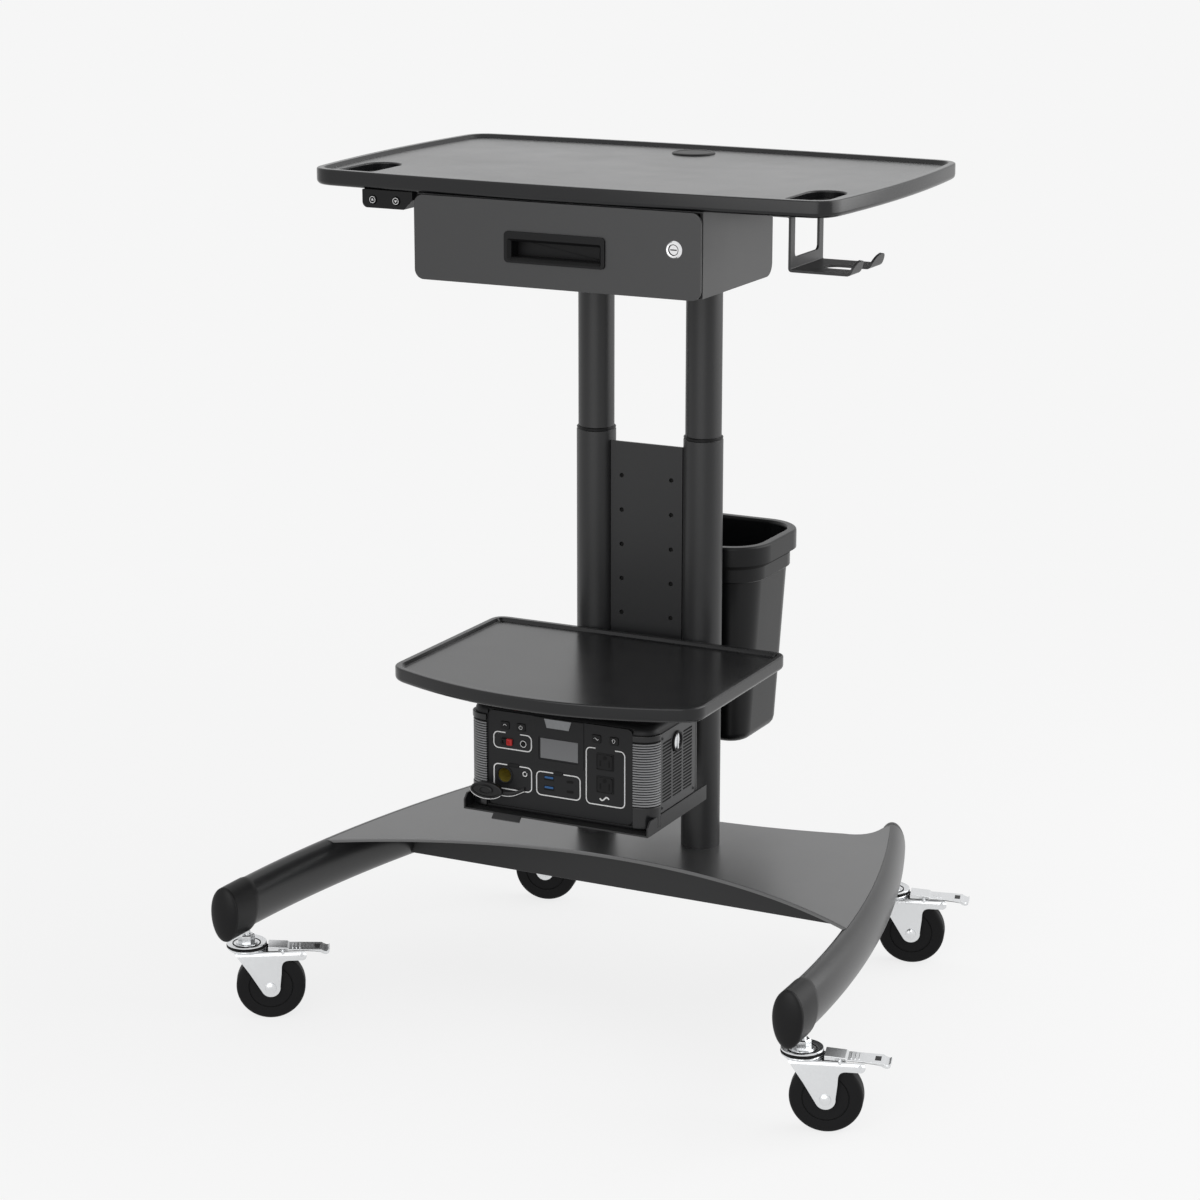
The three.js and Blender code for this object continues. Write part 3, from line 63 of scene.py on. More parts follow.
# Studio: each softbox has its place, the point it faces, width, height and power
SOFTBOXES = {
    "front_softbox": ((0.4, -3.3, 1.6), (0, 0, 0.9), 3.2, 3.1, 48),
    "right_softbox": ((2.8, 1.6, 1.9), (0, 0, 0.7), 3.6, 3.4, 82),
}
SOFT_LIGHT = 0.55
WHITE = (1.0, 1.0, 1.0, 1)
BACKGROUND = (0.92, 0.922, 0.925)
FLOOR_HALF = 40.0
FLOOR_NEAR = 0.8
FLOOR_FAR = 2.4
FLOOR_TONE = (0.16, 0.163)
FLOOR_GLOW = 0.79
FLOOR_ROUGHNESS = 0.8

# Small edges and clearances that several pieces share
HAIR_EDGE = 0.0002
FINE_EDGE = 0.0003
SHEET_EDGE = 0.0004
FORK_EDGE = 0.0005
SOFT_EDGE = 0.0006
BEAM_EDGE = 0.0015
SNUG = 0.0001
CLEAR = 0.0003
OVER = 0.01
WELDED = 1e-6

# Worktop
DESK_SIDE_BULGE = 0.0128
DESK_FRONT_BULGE = 0.0145
DESK_BACK_BULGE = 0.0124
DESK_CORNER = 0.030
DESK_BACK_NARROWER = 0.001
DESK_RIM = 0.0085
DESK_RIM_SLOPE = 0.0022
BOARD_EDGE = 0.002
PANEL_DROP = 0.004
UNDER_ROUND = 0.006
RECESS_INSET = 0.0445
RECESS_Y = -0.176
RECESS_STRAIGHT = 0.029
RECESS_RADIUS = 0.0235
RECESS_DEPTH = 0.012
RECESS_LIP = 0.0022
GROMMET_Y = 0.125
GROMMET_HOLE = 0.025
LID_CLEAR = 0.0004
LID_DISH = 0.0004
LID_TOP = [(0.006, -LID_DISH), (0.0055, 0), (0.002, 0), (0.0006, -0.0006)]

# Lower shelf
SHELF_BULGE = 0.0507
SHELF_CORNER = 0.020
SHELF_BACK_NARROWER = 0.003
SHELF_RIM = 0.008
SHELF_RIM_SLOPE = 0.0025

# Height switch
SWITCH_ROUND = 0.007
SWITCH_BEVEL = 0.012
BUTTON_EDGE = [(0.0008, 0), (0.0002, 0.0003), (0, 0.001)]
BUTTON_WELL = 0.0012
BUTTON_RING = 0.0041
BUTTON_RING_WIDTH = 0.0007
BUTTON_ARROW = 0.0021
ARROW_CORNERS = (math.pi / 2, -2.6, -0.54)
MARK_PROUD = 0.0001

# Drawer
CASE_WALL = 0.002
CASE_ROUND = 0.016
CASE_GAP = 0.0036
CASE_SHADE_INSET = 0.0012
FRONT_ROUND = 0.012
KEEPER_HALF = 0.014
KEEPER_DROP = 0.028
KEEPER_THICK = 0.002
KEEPER_SETBACK = 0.005
PULL_ROUND = 0.005
PULL_BORDER = 0.008
PULL_SILL = 0.006
PULL_MOUTH_HEIGHT = 0.019
PULL_MOUTH_ROUND = 0.003
PULL_WALL = 0.0025
PULL_LEAD = 0.001
PULL_LIP = 0.0012
PULL_SLOPE = 0.0035
PULL_SLOPE_DEPTH = 0.004
PULL_OVERLAP = 0.0005
BOX_TONGUE = 0.00525
BOX_WALL = 0.0015
RUNNER_HALF = 0.002
LOCK_RADIUS = 0.0085
LOCK_CLEAR = 0.0004
LOCK_FACE = [(0, 0.0012), (0.0058, 0.0012), (0.0062, 0.0003), (0.0070, 0)]
LOCK_FLANGE = [(0.0016, 0), (0, 0.0018), (0, 0.0025)]
LOCK_FLANGE_BACK = 0.0026
LOCK_SHADE_RING = (0.0066, 0.0058, 0.0001, 0.0012)
LOCK_CAM = 0.018
LOCK_CAM_HALF = 0.004
LOCK_CAM_THICK = 0.002
KEY_SLOT_SIZE = (0.0042, 0.0007)
KEY_SLOT_DEPTH = 0.0024
KEY_SLOT_SHADE = (0.0014, 0.0020)
KEY_SLOT_LEAD = 0.001

# Accessory hook
HOOK_THICK = 0.003
HOOK_FLANGE = 0.021
HOOK_STRIP = 0.012
HOOK_SILL = 0.014
HOOK_CURL = 0.017
HOOK_HEEL = 0.0085
HOOK_TURN = 0.25
HOOK_BEND = 0.003
HOOK_TIP_DROP = 0.0484
HOOK_TIP_SHARE = 0.42
HOOK_SLOT_REACH = 0.025
HOOK_PRONG = 0.030
HOOK_SLOT_WIDTH = 0.029
HOOK_CORNER = 0.006

# Columns
COLUMN_WALL = 0.0015
INNER_WALL = 0.0018
COLUMN_CHAMFER = 0.0009
COLLAR_FOOT = [(0.0012, 0.0001), (0.0012, 0.0012), (0.0002, 0.0016)]
COLLAR_HEAD = [(0.0002, -0.0010), (0.0010, -0.0002)]
PLATE_HOLE_RADIUS = 0.003
PLATE_HOLE_INSET = 0.0153
PLATE_HOLE_DROP = 0.0436
PLATE_HOLE_PITCH = 0.0446
PLATE_HOLE_ROWS = 10
# Depth of the dark discs at the back of the holes, which paint the shade seen through them
PLATE_HOLE_SHADE_DEPTH = 0.0006

# Legs: an elliptical tube bent to one arc in plan
LEG_REACH = 0.3793
LEG_REACH_Y = -0.4353
LEG_ARC = 1.7543
LEG_HALF_WIDTH = 0.018
LEG_HALF_HEIGHT = 0.0328
LEG_MIDDLE_Z = 0.1517
LEG_FRONT_Y = -0.402
LEG_BACK_Y = 0.181
LEG_SIDES = 48
LEG_SIZE = (LEG_HALF_WIDTH, LEG_HALF_HEIGHT, LEG_HALF_HEIGHT)
CAP_SLEEVE_Y = -0.378
CAP_SEAM_Y = -0.4178
CAP_SWELL = 0.0012
CAP_CHIN = 0.0044
CAP_SIZE = (LEG_HALF_WIDTH + CAP_SWELL, LEG_HALF_HEIGHT + CAP_SWELL, LEG_HALF_HEIGHT + CAP_CHIN)
CAP_FRONT_DOME = 0.008
CAP_BACK_DOME = 0.042
CAP_GROOVE = 0.0007
CAP_LEAD = 0.012
DOME_END = 0.02

# Base plate and beam
PLATE_THICK = 0.005
PLATE_EDGE = 0.0008
PLATE_INSET = 0.0025
PLATE_FRONT_CORNER_Y = -0.204
PLATE_FRONT_MIDDLE_Y = -0.095
PLATE_BACK_CORNER_Y = 0.172
PLATE_BACK_MIDDLE_Y = 0.087
PLATE_BACK_ARC = 0.842
PLATE_FILLET_X = 0.262
PLATE_FILLET_Y = 0.160
PLATE_FILLET_RUN = 0.037
BEAM_HALF_DEPTH = 0.051

# Tray under the power station
TRAY_SHEET = 0.002
TRAY_RIB_DROP = 0.038
TRAY_LIP = 0.019
TRAY_BEVEL = 0.007
TRAY_BACK_Y = -0.095
TRAY_NECK = 0.047
TRAY_RIB_REACH = 0.120
TRAY_TAB = (-0.084, -0.046)
TRAY_TAB_DROP = 0.005
TRAY_TAB_REACH = 0.006

# Power station
STATION_HALF = 0.1241
STATION_FACE_HALF = 0.101
STATION_FRONT = -0.248
STATION_BACK = -0.105
STATION_BEVEL = 0.018
STATION_FOOT = 0.003
STATION_SHOULDER = 0.010
STATION_SHOULDER_INSET = 0.008
HANDLE_HALF = 0.088
HANDLE_ROUND = 0.009
HANDLE_POST = 0.018
HANDLE_RISE = 0.025
HANDLE_BAR = 0.011
HANDLE_GAP_LIFT = 0.0005
HANDLE_GAP_ROUND = 0.005
HANDLE_SETBACK = 0.048
HANDLE_DEPTH = 0.042
RIB_PROUD = 0.0026
RIB_SHADE_THICK = 0.0010
RIB_LEAD = 0.001
RIB_END = 0.020
RIB_BOTTOM = 0.313
RIB_TOP = 0.392
RIB_PITCH = 0.0032
RIB_SHARE = 0.5
BUMPER_PROUD = 0.0034
BUMPER_GAP = 0.0012
BUMPER_ROUND = 0.00204

# Its side
GRILLE_PANEL = (-0.2265, 0.300, -0.128, 0.400)
GRILLE_ROUND = 0.005
GRILLE_SUNK = 0.001
GRILLE_PROUD = 0.0014
GRILLE_COLUMNS = 3
GRILLE_START = -0.2205
GRILLE_SLOT = 0.0250
GRILLE_GAP = 0.0042
GRILLE_ROWS = 19
GRILLE_BOTTOM = 0.3115
GRILLE_PITCH = 0.0041
GRILLE_OPEN = 0.0023
GRILLE_SLOT_ROUND = 0.45
GRILLE_FLOOR = 0.0002
GRILLE_SHADE_SPAN = (0.0001, 0.0005)
SCREW_INSET = (0.005, 0.006)
SCREW_HEAD = [(0.0022, 0), (0.0022, 0.0018), (0.0014, 0.0022), (0.0012, 0.0014), (0, 0.0014)]
LAMP_WALL = 0.003
LAMP_RIM = [(0, -0.001), (0.001, 0), (0.0022, 0), (LAMP_WALL, -0.0008)]
LAMP_LENS_INSET = 0.0034
LAMP_LENS = [(0, 0.0012), (0.6, 0.0013), (1, 0.0022)]
LAMP_BAR_HALF = 0.0016
LAMP_BAR_ROUND = 0.0015
LAMP_BAR_DROP = 0.0004

# Its face
KEYS = ("start_key", "power_key", "output_key", "lamp_key")
KEY_ROUND = 0.002
KEY_EDGE = 0.0007
KEY_SEAT = 0.0005
KEY_FOOT = 0.0004
FACE_ROUND = 0.008
FACE_SEAT = 0.001
FACE_FOOT = 0.0009
SCREEN_CLEAR = 0.0002
SCREEN_PROUD = 0.0003
SCREEN_BORDER = 0.0018
SCREEN_BORDER_ROUND = 0.0015
CENTRE_PANEL = (-0.036, 0.3475, 0.033, 0.4075)
CENTRE_ROUND = 0.002
CENTRE_PROUD = 0.0009
CENTRE_SUNK = 0.0004
BLANK_PLACE = (-0.0205, 0.3955, 0.0165, 0.4068)
BLANK_LEAN = 0.0035
BLANK_STEPS = ([(0, 0.0006), (0.0007, 0.0003)], [(0, 0.0002)])

# Its print: frames as two corners and the gap in the upper line, then the other marks
PRINT_WIDTH = 0.0014
PRINT_FRAMES = [
    (-0.0909, 0.3609, -0.0388, 0.3812, -0.0745, -0.0545),
    (-0.0909, 0.3089, -0.0388, 0.3401, -0.0725, -0.0555),
    (-0.0318, 0.3085, 0.0279, 0.3384, -0.0090, 0.0050),
    (0.0362, 0.3074, 0.0882, 0.3786, 0.0490, 0.0750),
]
PRINT_CORNER = 0.006
WAVE_PLACE = (0.0609, 0.3157)
WAVE_SIZE = (0.0062, -0.0022)
WAVE_WEIGHT = 1.3
DIAL_MARK = (-0.048, 0.3315, 0.0028)
DIAL_WEIGHT = 0.8
KEY_LINE = 0.0006
KEY_ARC_DROP = 0.001
KEY_ARC_RADIUS = 0.0024
KEY_RING_RADIUS = 0.0022
KEY_STROKE = (0.0008, 0.0028)
KEY_WAVE = (0.0032, 0.0012)
BULB_RISE = 0.0006
BULB_RADIUS = 0.0019
BULB_FOOT = (0.0009, 0.0022)

# Its sockets, ports and outlets
SOCKET_PLACE = (-0.076, 0, 0.3266)
SOCKET_RADIUS = 0.010
SOCKET_DEPTH = 0.038
SOCKET_FLANGE = [(0.0012, 0), (-0.0018, 0), (-0.0014, -0.0008), (0.0004, -0.001), (0.0012, -0.0006)]
LINING_WALL = 0.0007
LINING_LEAD = 0.0008
LINING_BACK = 0.001
JACK_PLACE = (-0.050, 0, 0.3698)
JACK_RADIUS = 0.0043
JACK_RIM = 0.0007
JACK_PROUD = 0.0004
JACK_PIN = 0.0009
BLUE_PORTS = [(-0.0146, 0.3312), (-0.0146, 0.3185)]
BLUE_PORT_HALF = (0.0068, 0.0030)
BLUE_TONGUE = (0.0058, -0.0004, 0.0021)
SMALL_PORTS = [(0.0141, 0.3303), (0.0141, 0.3177)]
SMALL_PORT = (0.0044, 0.0014, 0.0013)
SMALL_PORT_LIP = (0.0050, 0.0020, 0.0018)
PORT_SHADE = 0.0002
PORT_PROUD = 0.0006
OUTLET_X = 0.0616
OUTLET_HEIGHTS = (0.3625, 0.3336)
OUTLET_FRAME = (0.0118, 0.0107, 0.0012)
OUTLET_BLOCK = (0.0100, 0.0092, 0.003)
OUTLET_STEPS = [(0, 0.0008), (0.001, 0.0002), (0.0008, -0.0007)]
OUTLET_PROUD = 0.0009
OUTLET_SHADE = 0.0011
BLADES = [(-0.0060, 0.0034), (0.0060, 0.0042)]
BLADE_HALF = 0.0010
BLADE_DROP = 0.0020
GROUND_RADIUS = 0.0026
GROUND_RISE = 0.0052
COVER_TABS = [(-0.0715, 0.3382, -0.0565, 0.3430), (-0.0080, 0.3362, 0.0040, 0.3410)]
COVER_TAB_ROUND = 0.0018
COVER_TAB_STEPS = [(0, 0.0008), (0.0006, 0.0004)]
PLUG_PLACE = (-0.0725, 0.370)
PLUG_PITCH = 0.0080
PLUG_SIZE = (0.0078, 0.0042)
PLUG_ROUND = 0.0012
PLUG_STEPS = [(0, 0.0022), (0.0008, 0.0006)]
PLUG_WELL = (0.0022, 0.0056, 0.0022)
PLUG_WELL_FLOOR = 0.0012

# The rubber cover of the car socket and its strap
COVER_HALF = 0.022
COVER_HALF_HEIGHT = 0.0105
COVER_THICK = 0.006
COVER_SIDE = 0.0016
COVER_ROUND = 0.0014
COVER_DISH = [(0.0012, 0), (0.0008, -0.0016), (0.0016, -0.0004)]
COVER_PLUG_SHIFT = 0.001
COVER_PLUG_SHARE = (0.42, 0.5)
COVER_PLUG_STEPS = [(0, 0.0026), (0.0012, 0.0006), (0.0008, -0.0012)]
STRAP_ANCHOR = (-0.050, 0.312)
STRAP_START = 0.55
STRAP_KNEE = (0.006, -0.0075)
STRAP_END = (-0.004, -0.003)
STRAP_TAIL = 0.002
STRAP_OFF_FACE = 0.0012
STRAP_SIZE = (0.0012, 0.0028)
# A painted highlight line along the cover's lower rim and the strap
COVER_HIGHLIGHT_SHIFT = (-0.0010, -0.0026)
COVER_HIGHLIGHT_RADIUS = 0.0005

# Waste bin
BIN_CORNER = 0.055
BIN_WALL = 0.002
BIN_SKIRT = 0.025
BIN_SKIRT_DEPTH = 0.012
BIN_RIM_ROUND = 0.003
BIN_RIM = [(0.3, 0.1), (0.4, 0.4), (0.3, 1)]
BIN_MOUTH = 0.0005
BIN_BAND_INSET = 0.008
BIN_BAND_HEIGHT = 0.049
BIN_SOFT = 0.0012
BIN_BODY_INSET = 0.0114
BIN_FOOT_INSET = 0.026
BIN_FOOT_ROUND = 0.012
BIN_FOOT = [(0.0014, 0.0055), (0.0032, 0.0042), (0.005, 0.0023)]
BIN_FLOOR_RISE = 0.012
BIN_FLOOR = [(0.004, -0.006), (0.010, -0.004)]
# The painted shadow under the rim's skirt: its half height and how far it stands out
BIN_SHADOW_HALF = 0.006
BIN_SHADOW_PROUD = 0.0004

# Caster wheel
WHEEL_RADIUS = 0.04325
WHEEL_HALF = 0.012
WHEEL_TREAD_HALF = 0.0085
WHEEL_HUB = [(0.0044, 0.0144), (0.0100, 0.0144), (0.0108, WHEEL_HALF)]
WHEEL_GROOVE_SHARE = 0.63
WHEEL_GROOVE = [(0.0008, 0), (0.0004, -0.0012), (-0.0004, -0.0012), (-0.0008, 0)]
WHEEL_SHOULDER = [(0.0048, 0), (0.0022, -0.0010)]
WHEEL_TREAD = [(0.0006, 0.0006), (0, -0.0010)]

# Caster fork, seen from the side with the swivel axis at zero
CASTER_TRAIL = 0.0292
FORK_INSIDE = 0.015
FORK_SHEET = 0.0026
FORK_EYE = 0.012
FORK_BEND = 0.005
FORK_LOW = 0.028
FORK_SPAN = (-0.020, 0.076)
FORK_WIDE = 0.03
FORK_BROW = [(0.0165, 0.001), (0.0135, -0.004)]
FORK_WAIST = (0.0034, 0.0627)
FORK_BACK = (0.0430, 0.062)
FORK_CROTCH = ((0.0434, 0.0690), (0.0434, 0.0791), (0.0530, 0.0791))
FORK_ARM = (0.0690, 0.0850, 0.0060)
FORK_ARM_END = 0.0700
FORK_GAP = (0.080, 0.090, 0.11)
BRIDGE_Z = 0.0886
BRIDGE_LIFT = 0.0005
HEAD_BORE = 0.006
HEAD_RADIUS = 0.0245
HEAD_WAIST = 0.019
HEAD_SIDE = [(0.0015, 0), (0, 0.0016)]
HEAD_CHAMFER = 0.0008
HEAD_GAP = 0.0022
HEAD_EYE = 0.010
AXLE_PLACE = (CASTER_TRAIL, 0, WHEEL_RADIUS)
AXLE_RADIUS = 0.004
BOLT_HEAD = [(0, 0.003), (0.0038, 0.003), (0.0048, 0.0026), (0.0066, 0.0016)]
BOLT_HEAD += [(0.0070, 0.0006), (0.0070, -0.0005), (0, -0.0005)]
RIVET_HEAD = [(0, 0.0009), (0.0016, 0.0009), (0.0022, 0.0003)]
ARM_RIVET = (0.0689, 0.0866)

# Caster dish, seal, nut and stud
DISH_RADIUS = 0.025
DISH_BOTTOM = 0.0962
DISH_TOP = 0.1004
DISH_BORE = 0.006
DISH_WELL = 0.0984
DISH_UNDER = [(0.004, 0), (0, 0.0022)]
DISH_LIP = [(0, -0.0004), (0.0006, 0), (0.0014, -0.0003)]
DISH_FLOOR = 0.0055
DISH_SAG = 0.0002
SEAL_BORE = 0.010
SEAL_DROP = 0.0020
SEAL_RISE = 0.0014
SEAL_PROUD = 0.0003
SEAL_FOOT = [(0.0006, 0), (-SEAL_PROUD, 0.0008)]
SEAL_HEAD = [(-SEAL_PROUD, -0.0006), (0.001, 0)]
# A black ring round the nut paints the shade of a groove in the dish
NUT_SHADE_RADIUS = 0.0178
NUT_SHADE_WIDTH = 0.0014
NUT_SHADE_RISE = 0.0004
NUT_RADIUS = 0.0105
NUT_HEIGHT = 0.012
NUT_CHAMFER = (0.0014, 0.001)
WASHER_REACH = 0.0028
WASHER_RISE = 0.0016
STUD_RADIUS = 0.005
STUD_CHAMFER = 0.001
STUD_TOP = 0.150

# Brake lever
LEVER_START = 0.0268
LEVER_END = 0.100
LEVER_HALF = 0.0135
LEVER_SHEET = 0.0018
LEVER_START_RISE = 0.0068
LEVER_END_RISE = 0.002
LEVER_STEP_X = 0.053
LEVER_STEP_RUN = 0.0024
LEVER_STEP_DROP = 0.0018
LEVER_CURL = 0.0034
LEVER_CURL_LEAD = 0.001
LEVER_CURL_DROPS = (1.3, 0.4)
LEVER_CORNER = 0.005
LEVER_CORNER_CUT = (0.0005, 0.002, 0.004)
LEVER_CUT_SPAN = (0.06, 0.12)
LEVER_WALL = 0.0014
LEVER_WALL_TIP = 0.0030
LEVER_WALL_LOW = 0.0905
LEVER_WALL_END = 0.074
LEVER_RIBS = (0.0575, 0.0620, 0.0665)
LEVER_RIB_SIZE = (0.0009, 0.0019)
LEVER_RIB_ROUND = 0.0007
LEVER_RIB_HALF = 0.009
LEVER_EAR_REACH = 0.0065
LEVER_EAR_DROP = 0.0043
LEVER_EAR_ROUND = 0.002
LEVER_EAR_THICK = 0.0024
LEVER_PIVOT_X = 0.0452
LEVER_PIVOT_Z = 0.0896
LEVER_MARK = (0.0845, 0.0915)
LEVER_MARK_HALF = 0.0062
LEVER_MARK_PROUD = 0.0002

SIDES = (("left", -1), ("right", 1))


def inside(node):
    """The lowest and highest corner of a node, with the middle of the columns as x = y = 0."""
    low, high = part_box(node)
    return Vector(low) - MIDDLE, Vector(high) - MIDDLE


def column_middle():
    left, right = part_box("outer_column_left"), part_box("outer_column_right")
    return Vector(((left[0][0] + right[1][0]) / 2, (left[0][1] + left[1][1]) / 2, 0))


MIDDLE = column_middle()

# Shader node groups

FINE_BUMP = 0.0002
SMUDGE = 0.08
DUST_GREY = (0.45, 0.44, 0.42, 1)


def new_group(name, inputs, outputs):
    group = bpy.data.node_groups.new(name, "ShaderNodeTree")
    for label, kind, value in inputs:
        socket = group.interface.new_socket(label, in_out="INPUT", socket_type="NodeSocket" + kind)
        socket.default_value = value
    for label, kind in outputs:
        group.interface.new_socket(label, in_out="OUTPUT", socket_type="NodeSocket" + kind)
    return group, group.nodes.new("NodeGroupInput"), group.nodes.new("NodeGroupOutput")


def add_node(tree, kind, links=None, **values):
    """A node with its properties or input values set, and its inputs linked."""
    made = tree.nodes.new(kind)
    for key, value in values.items():
        if hasattr(made, key):
            setattr(made, key, value)
        else:
            made.inputs[key.replace("_", " ")].default_value = value
    for key, source in (links or {}).items():
        tree.links.new(source, made.inputs[key])
    return made


def calc(tree, operation, *values):
    """A math node on sockets and plain numbers."""
    made = add_node(tree, "ShaderNodeMath", operation=operation)
    for socket, value in zip(made.inputs, values):
        if isinstance(value, float):
            socket.default_value = value
        else:
            tree.links.new(value, socket)
    return made.outputs[0]


def object_coordinates(tree):
    return tree.nodes.new("ShaderNodeTexCoord").outputs["Object"]


def grain_group():
    """Fine texture of a powder coat or a moulded surface: a height, and a tone around 1."""
    inputs = [("Scale", "Float", 600.0), ("Contrast", "Float", 0.15)]
    group, source, sink = new_group("fine_grain", inputs, [("Height", "Float"), ("Tone", "Float")])
    place = {"Vector": object_coordinates(group), "Scale": source.outputs["Scale"]}
    fine = add_node(group, "ShaderNodeTexNoise", place, Detail=3.0).outputs["Fac"]
    pits = add_node(group, "ShaderNodeTexVoronoi", place, feature="F1").outputs["Distance"]
    mixed = add_node(group, "ShaderNodeMix", {2: fine, 3: pits}, data_type="FLOAT")
    mixed.inputs[0].default_value = 0.4
    tone = calc(group, "MULTIPLY_ADD", calc(group, "SUBTRACT", fine, 0.5), source.outputs["Contrast"], 1.0)
    group.links.new(mixed.outputs[0], sink.inputs["Height"])
    group.links.new(tone, sink.inputs["Tone"])
    return group


def handling_group():
    """Broad smudges and streaks: a roughness that varies a little around the one given."""
    inputs = [("Roughness", "Float", 0.4), ("Spread", "Float", 0.1), ("Scale", "Float", 9.0)]
    group, source, sink = new_group("handling", inputs, [("Roughness", "Float")])
    place = {"Vector": object_coordinates(group), "Scale": source.outputs["Scale"]}
    noise = add_node(group, "ShaderNodeTexNoise", place, Detail=4.0, Roughness=0.6).outputs["Fac"]
    centred = calc(group, "SUBTRACT", noise, 0.5)
    spread = calc(group, "MULTIPLY_ADD", centred, source.outputs["Spread"], source.outputs["Roughness"])
    group.links.new(spread, sink.inputs["Roughness"])
    return group


def dust_group():
    """A thin veil of dust where a surface faces up: a colour mixed a little towards grey."""
    inputs = [("Color", "Color", (0.03, 0.03, 0.03, 1)), ("Amount", "Float", 0.02)]
    group, source, sink = new_group("dust", inputs, [("Color", "Color")])
    normal = group.nodes.new("ShaderNodeNewGeometry").outputs["Normal"]
    up = add_node(group, "ShaderNodeSeparateXYZ", {0: normal}).outputs["Z"]
    place = {"Vector": object_coordinates(group)}
    noise = add_node(group, "ShaderNodeTexNoise", place, Scale=35.0, Detail=6.0).outputs["Fac"]
    mask = calc(group, "MULTIPLY", calc(group, "MAXIMUM", up, 0.0), noise)
    amount = calc(group, "MULTIPLY", mask, source.outputs["Amount"])
    veil = add_node(group, "ShaderNodeMix", {0: amount}, data_type="RGBA")
    group.links.new(source.outputs["Color"], veil.inputs[6])
    veil.inputs[7].default_value = DUST_GREY
    group.links.new(veil.outputs[2], sink.inputs["Color"])
    return group


GRAIN = grain_group()
HANDLING = handling_group()
DUST = dust_group()


def surface(name, color, roughness, grain_scale, bump, contrast=0.25, dust=0.03, **sockets):
    """A painted, moulded or plated surface: toned grain, dust, smudges and a fine bump."""
    material = bpy.data.materials.new(name)
    material.use_nodes = True
    tree = material.node_tree
    shader = tree.nodes["Principled BSDF"]
    grain = add_node(tree, "ShaderNodeGroup", node_tree=GRAIN, Scale=grain_scale, Contrast=contrast)
    toned = add_node(tree, "ShaderNodeMix", data_type="RGBA", blend_type="MULTIPLY")
    toned.inputs[0].default_value = 1.0
    toned.inputs[6].default_value = (*color, 1)
    tree.links.new(grain.outputs["Tone"], toned.inputs[7])
    dusted = add_node(tree, "ShaderNodeGroup", node_tree=DUST, Amount=dust)
    tree.links.new(toned.outputs[2], dusted.inputs["Color"])
    tree.links.new(dusted.outputs["Color"], shader.inputs["Base Color"])
    worn = add_node(tree, "ShaderNodeGroup", node_tree=HANDLING, Roughness=roughness, Spread=SMUDGE)
    tree.links.new(worn.outputs["Roughness"], shader.inputs["Roughness"])
    height = {"Height": grain.outputs["Height"]}
    relief = add_node(tree, "ShaderNodeBump", height, Strength=bump, Distance=FINE_BUMP)
    tree.links.new(relief.outputs["Normal"], shader.inputs["Normal"])
    for key, value in sockets.items():
        shader.inputs[key.replace("_", " ")].default_value = value
    return material


# Each finish has its colour, roughness, grain scale and bump, and what else it needs
LOOKS = {
    "black_steel": ((0.013, 0.0132, 0.014), 0.40, 900, 0.12, {"Specular_IOR_Level": 0.45}),
    "drawer_paint": ((0.017, 0.0172, 0.018), 0.46, 1100, 0.15, {"Specular_IOR_Level": 0.7}),
    "plate_grey": ((0.020, 0.0202, 0.0215), 0.34, 800, 0.12, {"IOR": 2.2}),
    "leg_paint": ((0.013, 0.0132, 0.014), 0.30, 900, 0.08, {"Specular_IOR_Level": 0.45}),
    "black_plastic": ((0.006, 0.006, 0.0065), 0.42, 700, 0.15, {"Specular_IOR_Level": 0.2}),
    "desk_board": ((0.007, 0.0072, 0.008), 0.23, 520, 0.08, {"Specular_IOR_Level": 0.38}),
    "bin_plastic": ((0.004, 0.0042, 0.0047), 0.32, 500, 0.12, {"Specular_IOR_Level": 0.24}),
    "station_plastic": ((0.010, 0.0102, 0.011), 0.46, 650, 0.2, {"Specular_IOR_Level": 0.25}),
    "bumper_plastic": ((0.008, 0.0082, 0.009), 0.22, 650, 0.05, {"Specular_IOR_Level": 0.45}),
    "grille_plastic": ((0.040, 0.0405, 0.042), 0.4, 650, 0.1, {"Specular_IOR_Level": 0.4}),
    "rib_plastic": ((0.30, 0.303, 0.31), 0.45, 650, 0.15, {}),
    "screen_glass": ((0.20, 0.203, 0.21), 0.2, 300, 0.02, {"contrast": 0.05}),
    "cover_rubber": ((0.008, 0.008, 0.0085), 0.42, 600, 0.15, {"Specular_IOR_Level": 0.3}),
    "zinc": ((0.72, 0.73, 0.74), 0.26, 380, 0.06, {"Metallic": 1.0, "contrast": 0.1, "dust": 0.0}),
    "lock_chrome": ((0.80, 0.80, 0.81), 0.14, 300, 0.05, {"Metallic": 1.0, "dust": 0.0}),
    # black rubber, also used for a painted shade ring round the caster nut
    "wheel_rubber": ((0.008, 0.008, 0.0085), 0.6, 500, 0.15, {"Specular_IOR_Level": 0.15}),
    "blank_metal": ((0.20, 0.205, 0.21), 0.35, 300, 0.1, {"Metallic": 0.8, "dust": 0.0}),
    # white print, also used for a painted highlight line on the socket cover
    "print_and_highlight_white": ((0.92, 0.92, 0.92), 0.5, 900, 0.1, {"contrast": 0.05, "dust": 0.0}),
    "plug_red": ((0.55, 0.02, 0.02), 0.35, 700, 0.1, {}),
    "port_blue": ((0.02, 0.11, 0.30), 0.4, 700, 0.1, {}),
    "socket_brass": ((0.40, 0.33, 0.06), 0.35, 300, 0.1, {"Metallic": 0.4}),
    # painted shade: a near-black put in gaps, slots, holes and grooves where shade falls
    "painted_shade_black": ((0.003, 0.003, 0.003), 0.7, 600, 0.1, {"Specular_IOR_Level": 0.2}),
}
MATERIALS = {name: surface(name, *look[:4], **look[4]) for name, look in LOOKS.items()}


